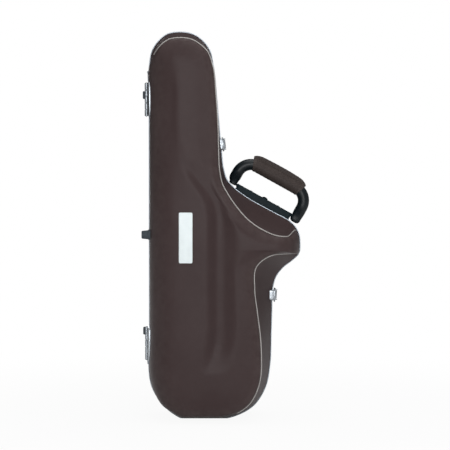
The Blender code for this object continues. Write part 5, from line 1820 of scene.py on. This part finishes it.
@dataclass
class CarryHandle(Fitting):
    """The folding handle: mount bar on the base, moulded loop and the stitched leather wrap."""

    depth: float = 0.022
    span: float = 0.1265
    reach: float = 0.0460
    corner: float = 0.026
    tube_radius: float = 0.0098
    tip_half_wall: float = 0.0032
    wall_taper: float = 0.024
    tip_half_widths: Pair = (0.0068, 0.0090)
    tip_drops: Pair = (0.0026, 0.0085)
    tip_lean: float = 0.0018
    tip_shares: Table = ((1.0, 0.34), (0.93, 0.64), (0.78, 0.84), (0.55, 0.96), (0.28, 1.0))
    taper: float = 0.0105
    setback: float = 0.0030
    axis_drop: float = 0.0030
    bar_half: float = 0.012
    bar_gap: float = 0.0103
    bar_corner: float = 0.004
    bar_edge: float = 0.0009
    stub_radius: float = 0.0018
    stub_root: float = 0.005
    stub_reach: float = 0.012
    stub_edge: float = 0.0003
    collar_radius: float = 0.0034
    collar_root: float = 0.002
    collar_reach: float = 0.0009
    collar_edge: float = 0.0006
    boss_half: float = 0.0052
    boss_root: float = 0.002
    boss_height: float = 0.0026
    boss_shares: Table = ((0.0, 1.0), (0.4, 0.92), (0.75, 0.72), (0.95, 0.42), (1.0, 0.15))
    wrap_gap: float = 0.0003
    wrap_wall: float = 0.0014
    wrap_fold: float = 0.00022
    wrap_sides: int = 45
    wrap_wear: float = 0.35
    flange: float = 0.0077
    flange_half: float = 0.0014
    crease: float = 0.0003
    end_angle: float = math.radians(21)
    stitch_rise: float = 0.62
    stitch_gap: float = 0.00008
    stitch_pitch: float = 0.0040
    stitch_length: float = 0.0028
    stitch_thickness: float = 0.0005
    screw_radius: float = 0.0026
    screw_height: float = 0.0008
    screw_slot: float = 0.0007
    sides: int = 32

    def place(self) -> Place:
        """The handle's local frame: t along the bar, n away from the case, w across it."""
        sizes = self.outline.sizes
        start, stop = (Vector((x * sizes.width, self.depth, z * sizes.length)) for x, z in HANDLE_LINE_SHARES)
        along = (stop - start).normalized()
        return Place(start + along * self.setback, along, Vector((-along.z, 0.0, along.x)), Vector((0, 1, 0)))

    def mount(self, place: Place) -> Loft:
        """The mount bar with its middle stop, collars and stubs."""
        low, high = self.bar_gap, self.span - self.bar_gap
        bar = self.seat.plate(
            place, (low, high), (-self.bar_half, self.bar_half), 0.0, self.bar_corner, self.bar_edge
        )
        middle = (low + high) / 2
        rows = []
        rises = ((self.boss_height * rise, share) for rise, share in self.boss_shares)
        for rise, share in ((-self.boss_root, 1.0), *rises):
            size = self.boss_half * share
            box = rounded_box((middle - size, middle + size), (-size * 1.5, size * 1.5), size * 0.8)
            rows.append([place.at(t, rise, w) for t, w in box])
        bar.add(Loft().rings(rows))
        rods = (
            (self.stub_root, self.stub_reach, self.stub_radius, self.stub_edge),
            (self.collar_root, self.collar_reach, self.collar_radius, self.collar_edge),
        )
        for end, side in ((low, -1), (high, 1)):
            for root, reach, radius, edge in rods:
                span = tuple(sorted((end - side * root, end + side * reach)))
                bar.add(rod(place, span, -self.axis_drop, 0.0, radius, edge))
        return bar

    def leg(self, half_width: float, drop: float, lean: float) -> list[tuple[float, ...]]:
        """One leg from its tip to the end of its bend.

        Args:
            half_width: Half of the tip's width across the case.
            drop: How far the tip reaches below the axis.
            lean: How far the tip leans towards the other leg.

        Returns:
            Places along and out from the bar, and the radii out of and across the case.
        """
        base = -self.axis_drop
        straight = self.reach - self.axis_drop - self.corner
        bend = arc(self.corner, straight, self.corner, [math.pi * (1 - step / 32) for step in range(17)])
        line = [(0.0, base - drop * share, size) for share, size in self.tip_shares]
        line += [(0.0, base + (straight - base) * step / 8, 1.0) for step in range(8)]
        line += [(t, n, 1.0) for t, n in bend]
        rows = []
        for t, n, size in line:
            swell, thicken = (smooth((n - base) / length) for length in (self.taper, self.wall_taper))
            wall = self.tip_half_wall + (self.tube_radius - self.tip_half_wall) * thicken
            width = half_width + (self.tube_radius - half_width) * swell
            rows.append((t + lean * (1 - swell), n, wall * size, width * size))
        return rows

    def loop(self, place: Place) -> Loft:
        """The loop: flat tips that swell into a round grip with wide bends."""
        near, far = map(self.leg, self.tip_half_widths, self.tip_drops, (self.tip_lean, 0.0))
        far = [(self.span - t, n, wall, width) for t, n, wall, width in far[::-1]]
        grip = [(float(t), *near[-1][1:]) for t in np.linspace(near[-1][0], far[0][0], 14)[1:-1]]
        points = [*near, *grip, *far]
        line = [place.at(t, n, 0.0) for t, n, _, _ in points]
        return Loft().rings(tube(line, [point[2:] for point in points], self.sides, place.across))

    def wrap_stations(self) -> list[tuple[float, float, float]]:
        """Along the wrap: its place along the bar, its angle and its flange."""
        near, far = self.corner, self.span - self.corner
        keys, travel, before = [], [], None
        for t_share, angle_share, flange_share in WRAP_STATION_SHARES:
            t, angle = near + (far - near) * t_share, self.end_angle * angle_share
            here = (t + self.corner * math.sin(angle), self.corner * math.cos(angle))
            travel.append(travel[-1] + math.dist(here, before) if before else 0.0)
            keys.append((t, angle, flange_share))
            before = here
        runs = np.linspace(0.0, travel[-1], 57)
        columns = [np.interp(runs, travel, column) for column in np.array(keys).T]
        for _ in range(6):
            columns[2][1:-1] = np.convolve(columns[2], (0.25, 0.5, 0.25), "valid")
        return list(zip(*columns))

    def wrap_frame(self, place: Place, t: float, angle: float) -> tuple[Vector, Vector]:
        """The middle of the grip and the outward direction at a station of the wrap."""
        up = place.outward * math.cos(angle) + place.along * math.sin(angle)
        level = self.reach - self.axis_drop - self.corner
        return place.at(t, level, 0.0) + up * self.corner, up

    def wrap_section(self, thin: float, flange_share: float) -> list[Pair]:
        """The outer side of the sleeve at a station.

        Args:
            thin: How thick the leather is there, against its full thickness.
            flange_share: How far the seam allowance stands out there, against its full size.

        Returns:
            Places across and outwards from the middle of the grip.
        """
        radius = self.tube_radius + self.wrap_gap + self.wrap_wall * thin
        tall = self.flange * flange_share * (0.9 + 0.1 * thin)
        half = self.flange_half * (0.75 + 0.25 * thin)
        foot = math.asin(half * 2.1 / radius)
        lift = radius * math.cos(foot)
        edge = [
            (half * 1.25, lift + 0.0007),
            (half, lift + 0.0018),
            (half, radius + tall * 0.5),
            (half, radius + tall * 0.88),
            (half * 0.7, radius + tall),
            (self.crease, radius + tall * 0.985),
        ]
        turns = np.linspace(-foot, foot - math.tau, self.wrap_sides)
        sleeve = [(radius * math.sin(a), radius * math.cos(a)) for a in turns]
        return [*edge, *((-side, rise) for side, rise in edge[::-1]), *sleeve]

    def wrap(self, place: Place) -> Loft:
        """The leather sleeve with its two-ply seam allowance along the outer side."""
        inner = self.tube_radius + self.wrap_gap
        shape = Loft()
        outer_rows, inner_rows = [], []
        stations = self.wrap_stations()
        for index, (t, angle, flange_share) in enumerate(stations):
            middle, up = self.wrap_frame(place, t, angle)
            end = min(index, len(stations) - 1 - index)
            profile = self.wrap_section((0.45, 0.85, 1.0)[min(end, 2)], flange_share)
            folds = self.wrap_fold * math.sin(index * 1.9) * math.sin(index * 0.53 + 1.0) * min(end / 4, 1.0)
            ring = [middle + up * (rise + folds) + place.across * side for side, rise in profile]
            outer_rows.append(shape.ring(ring, wear=self.wrap_wear if end < 3 else 0.0))
            ring = circle(middle, up, -place.across, len(profile), (inner, inner))
            inner_rows.append(shape.ring(ring))
        shape.bands(outer_rows)
        shape.bands(inner_rows)
        for index in (0, -1):
            shape.band(outer_rows[index], inner_rows[index])
        return shape

    def stitch_path(self, place: Place, side: int) -> list[Vector]:
        """The line of stitches on one side of the wrap's seam allowance."""
        path = []
        for t, angle, flange_share in self.wrap_stations()[2:-2]:
            middle, up = self.wrap_frame(place, t, angle)
            rise = self.tube_radius + self.wrap_wall + self.flange * flange_share * self.stitch_rise
            path.append(middle + up * rise + place.across * (side * (self.flange_half + self.stitch_gap)))
        return path

    def dress(self, bench: Bench) -> None:
        """Makes all pieces of the handle."""
        place = self.place()
        bench.add("handle_mount_bar", self.mount(place), Finish.MOUNT, "base", "handle_mount")
        bench.add("handle_grip_loop", self.loop(place), Finish.HANDLE, "handle", "handle_loop")
        bench.add("handle_leather_wrap", self.wrap(place), Finish.WRAP, "handle", "handle_wrap")
        sizes = {"pitch": self.stitch_pitch, "length": self.stitch_length, "thickness": self.stitch_thickness}
        for label, side in (("front", -1), ("back", 1)):
            path = self.stitch_path(place, side)
            thread = bench.grow(bench.patterns.stitches, path, place.across * side, path=True, **sizes)
            bench.add(f"handle_wrap_stitches_{label}", thread, Finish.DARK_THREAD, "handle")
        low, high = self.bar_gap, self.span - self.bar_gap
        spots = [place.at(low + (high - low) * share, 0.0, 0.0) for share in (0.25, 0.75)]
        nodes = ("handle_mount_screw_near", "handle_mount_screw_far")
        sizes = {"radius": self.screw_radius, "height": self.screw_height, "slot": self.screw_slot}
        bench.add_heads("handle_mount_screws", spots, place.outward, "base", *nodes, **sizes)


@dataclass
class StrapRing(Fitting):
    """A D-ring hanging from a riveted saddle on the spine wall of the base."""

    which: str
    depth: float = 0.033
    half_length: float = 0.006
    half_width: float = 0.011
    face: float = 0.0016
    corner: float = 0.0022
    barrel: float = 0.0028
    barrel_half: float = 0.0065
    barrel_height: float = 0.0032
    barrel_edge: float = 0.0004
    wire: float = 0.0015
    ring_half: float = 0.012
    drop: float = 0.0165
    rivet_inset: Pair = (0.0031, 0.0036)
    rivet_radius: float = 0.0023
    rivet_height: float = 0.0010

    def ring(self, place: Place) -> Loft:
        """The D-shaped wire, its straight side in the saddle."""
        top = -self.half_length
        bend = self.wire * 1.4
        points = [(top, (self.ring_half - bend) * share) for share in (-1.0, -0.5, 0.0, 0.5, 1.0)]
        turns = [math.pi / 2 * step / 5 for step in range(1, 6)]
        points += arc(top - bend, self.ring_half - bend, bend, turns)
        start, deep = top - self.wire * 2, self.drop - self.wire * 2
        for step in range(1, 24):
            angle = math.pi * step / 24
            points.append((start - deep * math.sin(angle), self.ring_half * math.cos(angle)))
        points += [(t, -w) for t, w in points[5:10][::-1]]
        line = [place.at(t, self.barrel_height, w) for t, w in points]
        return wire(line, self.wire, 16, place.outward)

    def saddle(self, place: Place) -> Loft:
        """The saddle: a plate with a barrel at its lower end."""
        length, width = (-self.half_length, self.half_length), (-self.half_width, self.half_width)
        saddle = self.seat.plate(place, length, width, self.face, self.corner)
        sideways = Place(place.at(-self.half_length, 0.0, 0.0), place.across, place.outward, place.along)
        span = (-self.barrel_half, self.barrel_half)
        return saddle.add(rod(sideways, span, self.barrel_height, 0.0, self.barrel, self.barrel_edge))

    def dress(self, bench: Bench) -> None:
        """Makes the saddle, its rivets and the ring."""
        local = self.outline.rim_place(RING_PLACE_SHARES[self.which], left=True).origin
        place = spine_place(local.x, self.depth, local.z)
        name = f"{self.which}_ring"
        bench.add(f"{name}_strap_plate", self.saddle(place), Finish.STEEL, "base", f"{name}_saddle")
        t, w = self.half_length - self.rivet_inset[0], self.half_width - self.rivet_inset[1]
        spots = [place.at(t, self.face, side * w) for side in (-1, 1)]
        sizes = {"radius": self.rivet_radius, "height": self.rivet_height}
        bench.add_heads(f"{name}_rivets", spots, place.outward, "base", **sizes)
        bench.add(f"{self.which}_strap_ring", self.ring(place), Finish.STEEL, name, f"{self.which}_d_ring")


@dataclass
class SpineFeet(Fitting):
    """Three rubber feet on which the case is set down on its spine."""

    reach: float = 0.0122
    base_radius: float = 0.0088
    end_radius: float = 0.0064
    skirt: float = 0.0020
    skirt_gap: float = 0.0002
    depth: float = 0.030
    sides: int = 32

    def foot(self, which: str) -> Loft:
        """One foot: a skirt on the wall, a tapered body and a dished end."""
        side = -1 if which == "middle" else 1
        height = FOOT_PLACE_SHARES[which] * self.outline.sizes.length
        place = spine_place(self.outline.spine_x(), side * self.depth, height)
        spans = [self.base_radius * share for share in (-1, -0.5, 0, 0.5, 1)]
        found = [self.seat.height(place, t, w) for t in spans for w in spans]
        seats = [h for h in found if h is not None]
        low, top = max(seats) + self.outline.sizes.clearance + self.skirt, self.reach
        wide, slim = self.base_radius, self.end_radius
        profile = (
            (wide, min(seats) + self.skirt_gap),
            (wide, low - 0.0006),
            (wide - 0.0002, low - 0.0002),
            (wide - 0.0008, low),
            (wide - 0.0011, low + 0.0003),
            (slim + 0.0004, top - 0.0012),
            (slim, top - 0.0005),
            (slim - 0.0006, top),
            (slim - 0.0020, top),
            (slim - 0.0024, top - 0.0006),
            (0.0012, top - 0.0008),
        )
        rows = []
        for radius, rise in profile:
            rows.append(circle(place.at(0, rise, 0), place.along, place.across, self.sides, (radius, radius)))
        return Loft().rings(rows)

    def dress(self, bench: Bench) -> None:
        """Makes the three feet."""
        for which in FOOT_PLACE_SHARES:
            body = "lid" if which == "middle" else "base"
            bench.add(f"{which}_spine_foot", self.foot(which), Finish.RUBBER, body, f"spine_foot_{which}")


@dataclass
class NamePlate(Fitting):
    """The bare name plate on the lid: a raised border round a satin field."""

    x_shares: Pair = (0.209, 0.297)
    z_shares: Pair = (0.411, 0.539)
    gap: float = 0.0003
    wall: float = 0.0013
    border: float = 0.0011
    border_rise: float = 0.0003
    corner: float = 0.0022

    def build(self) -> Loft:
        """The plate, bent to the face of the lid."""
        sizes = self.outline.sizes
        low = Vector((self.x_shares[0] * sizes.width, -sizes.lid_depth, self.z_shares[0] * sizes.length))
        high = Vector((self.x_shares[1] * sizes.width, -sizes.lid_depth, self.z_shares[1] * sizes.length))
        half_x, half_z = (high.x - low.x) / 2, (high.z - low.z) / 2
        place = Place((low + high) / 2, Vector((0, 0, 1)), Vector((0, -1, 0)), Vector((1, 0, 0)))
        top, field = self.gap + self.wall, self.gap + self.wall - self.border_rise
        spans = (
            (0.0, self.gap),
            (0.0, top - 0.0003),
            (0.00009, top - 0.00009),
            (0.0003, top),
            (self.border - 0.0002, top),
            (self.border, field),
            (self.border + 0.002, field),
            (half_x * 0.55, field),
            (half_x * 0.85, field),
        )
        rows = []
        for inset, rise in spans:
            ring = rounded_box((-half_z, half_z), (-half_x, half_x), self.corner, inset, 5, 9)
            rows.append([place.at(t, self.seat.height(place, t, w) + rise, w) for t, w in ring])
        return Loft().rings(rows, flat=True)

    def dress(self, bench: Bench) -> None:
        """Makes the plate."""
        bench.add("bare_name_plate", self.build(), Finish.PLATE, "lid", "name_plate")


# Stage


@dataclass(frozen=True)
class Softbox:
    """A square area light aimed at the case."""

    name: str
    place: tuple[float, float, float]
    size: float
    power: float


@dataclass
class Studio:
    """The pale floor, the surround, the soft lights and the camera."""

    distance: float = 3.2
    elevation: float = math.radians(2.3)
    view_width: float = 0.774
    sensor: float = 36.0
    aim: tuple[float, float, float] = (-0.0016, 0.0053, 0.333)
    floor_size: float = 14.0
    floor_grey: float = 0.90
    floor_near: Pair = (0.25, 0.93)
    floor_far: Pair = (1.1, 1.0)
    dim_side: Pair = (-1.0, 0.16)
    bright_side: Pair = (0.4, 0.40)
    front: Pair = (0.0, 1.0)
    back: Pair = (0.75, 0.35)
    gloss_share: float = 0.20
    white: tuple[float, float, float, float] = (1.0, 1.0, 1.0, 1.0)
    softboxes: tuple[Softbox, ...] = (
        Softbox("front_softbox", (0.1, -4.4, 0.7), 2.6, 104.0),
        Softbox("key_softbox", (0.5, -2.4, 2.8), 1.6, 10.0),
        Softbox("top_softbox", (0.1, -0.2, 2.6), 1.6, 22.0),
        Softbox("back_softbox", (-0.2, 4.4, 0.9), 1.6, 34.0),
    )

    def floor_material(self) -> Material:
        """White to the camera, fainter in reflections, with a faint shadow, and plain diffuse for light."""
        material = bpy.data.materials.new("studio_floor")
        material.use_nodes = True
        material.node_tree.nodes.clear()
        wiring = Wiring(material.node_tree)
        grey = (self.floor_grey, self.floor_grey, self.floor_grey, 1.0)
        paint = wiring.out("ShaderNodeBsdfDiffuse", {"Color": grey})
        glow = wiring.out("ShaderNodeEmission", {"Color": self.white, "Strength": 1.0})
        path = wiring.node("ShaderNodeLightPath").outputs
        gloss = wiring.calc("MULTIPLY", path["Is Glossy Ray"], self.gloss_share)
        seen = wiring.calc("MAXIMUM", path["Is Camera Ray"], gloss)
        seen = wiring.calc("MAXIMUM", seen, path["Is Transmission Ray"])
        place = wiring.node("ShaderNodeTexCoord").outputs["Object"]
        off = wiring.node("ShaderNodeVectorMath", {0: place}, operation="LENGTH").outputs["Value"]
        white = wiring.fade(off, self.floor_near, self.floor_far)
        share = wiring.calc("MULTIPLY", seen, white)
        mixed = wiring.out("ShaderNodeMixShader", {0: share, 1: paint, 2: glow})
        wiring.node("ShaderNodeOutputMaterial", {"Surface": mixed})
        return material

    def floor(self) -> None:
        """The floor under the case."""
        half = self.floor_size / 2
        mesh = bpy.data.meshes.new("studio_floor")
        corners = [(-half, -half, 0), (half, -half, 0), (half, half, 0), (-half, half, 0)]
        mesh.from_pydata(corners, [], [(0, 1, 2, 3)])
        mesh.materials.append(self.floor_material())
        linked("studio_floor", mesh)

    def world(self) -> None:
        """A plain pale surround that the camera sees as white."""
        world = bpy.data.worlds.new("studio")
        bpy.context.scene.world = world
        world.use_nodes = True
        world.node_tree.nodes.clear()
        wiring = Wiring(world.node_tree)
        path = wiring.node("ShaderNodeLightPath").outputs
        seen = wiring.calc("MAXIMUM", path["Is Camera Ray"], path["Is Transmission Ray"])
        way = wiring.node("ShaderNodeTexCoord").outputs["Generated"]
        axes = wiring.node("ShaderNodeSeparateXYZ", {0: way}).outputs
        side = wiring.fade(axes["X"], self.dim_side, self.bright_side, "LINEAR")
        back = wiring.fade(axes["Y"], self.front, self.back, "LINEAR")
        strength = wiring.out("ShaderNodeMapRange", {0: seen, 3: wiring.calc("MULTIPLY", side, back), 4: 1.0})
        sky = wiring.out("ShaderNodeBackground", {"Color": self.white, "Strength": strength})
        wiring.node("ShaderNodeOutputWorld", {"Surface": sky})

    def lights(self) -> None:
        """The soft lights."""
        for box in self.softboxes:
            light = bpy.data.lights.new(box.name, "AREA")
            light.size, light.energy = box.size, box.power
            made = linked(box.name, light)
            made.location = box.place
            made.rotation_euler = (Vector(self.aim) - Vector(box.place)).to_track_quat("-Z", "Y").to_euler()

    def camera(self) -> None:
        """The camera at the photograph's angle, its lens set from the view width."""
        data = bpy.data.cameras.new("camera")
        data.sensor_width = self.sensor
        data.lens = self.sensor * self.distance / self.view_width
        made = linked("camera", data)
        back = Vector((0.0, -math.cos(self.elevation), math.sin(self.elevation)))
        made.location = Vector(self.aim) + back * self.distance
        made.rotation_euler = (-back).to_track_quat("-Z", "Y").to_euler()
        bpy.context.scene.camera = made

    def build(self) -> None:
        """Sets up the whole stage."""
        bpy.context.scene.view_settings.view_transform = "Standard"
        self.floor()
        self.world()
        self.lights()
        self.camera()


def case_origin(outline: Outline, rims: Rims) -> Vector:
    """Where the case frame's origin lies in the row frame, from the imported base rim."""
    low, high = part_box("base_rim")
    plan = outline.rows_rim.min(axis=0)
    return Vector((low.x - plan[0], high.y - rims.flange, low.z - plan[1]))


def main() -> None:
    """Builds the stage, then every sub-assembly of the case in order."""
    logging.basicConfig(level=logging.INFO, format="%(name)s: %(message)s")
    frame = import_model()
    Studio().build()
    sizes = CaseSizes()
    outline = Outline(sizes)
    lid = HalfShape(outline, -1, sizes.lid_depth, LID_DEPTH_SHARES, crown=0.0045, valley=0.0095)
    base = HalfShape(
        outline,
        1,
        sizes.base_depth,
        BASE_DEPTH_SHARES,
        crown=0.002,
        valley=0.0,
        seam_inset=0.15,
        face_inset=0.75,
        least_seam_share=0.50,
    )
    rims = Rims(lid, base)
    bench = Bench(case_origin(outline, rims))
    outside = Loft()
    for name, half in (("lid", lid), ("base", base)):
        outside.add(Shell(name, half, rims).dress(bench))
        Lining(name, half).dress(bench)
    seat = Seat(outside.tree())
    for loft in rims.dress(bench):
        outside.add(loft)
    hardware_seat = Seat(outside.tree())
    for name, half in (("lid", lid), ("base", base)):
        SeamPiping(name, half, seat).dress(bench)
    for which in ("neck", "bow"):
        FoamBlock(which).dress(bench, frame["nodes"][f"{which}_block"])
    for which in HINGE_PLACE_SHARES:
        Hinge(outline, hardware_seat, which).dress(bench)
    for which in LATCH_PLACE_SHARES:
        DrawLatch(outline, hardware_seat, which).dress(bench)
    CarryHandle(outline, hardware_seat).dress(bench)
    for which in RING_PLACE_SHARES:
        StrapRing(outline, hardware_seat, which).dress(bench)
    SpineFeet(outline, hardware_seat).dress(bench)
    NamePlate(outline, seat).dress(bench)


if __name__ == "__main__":
    main()
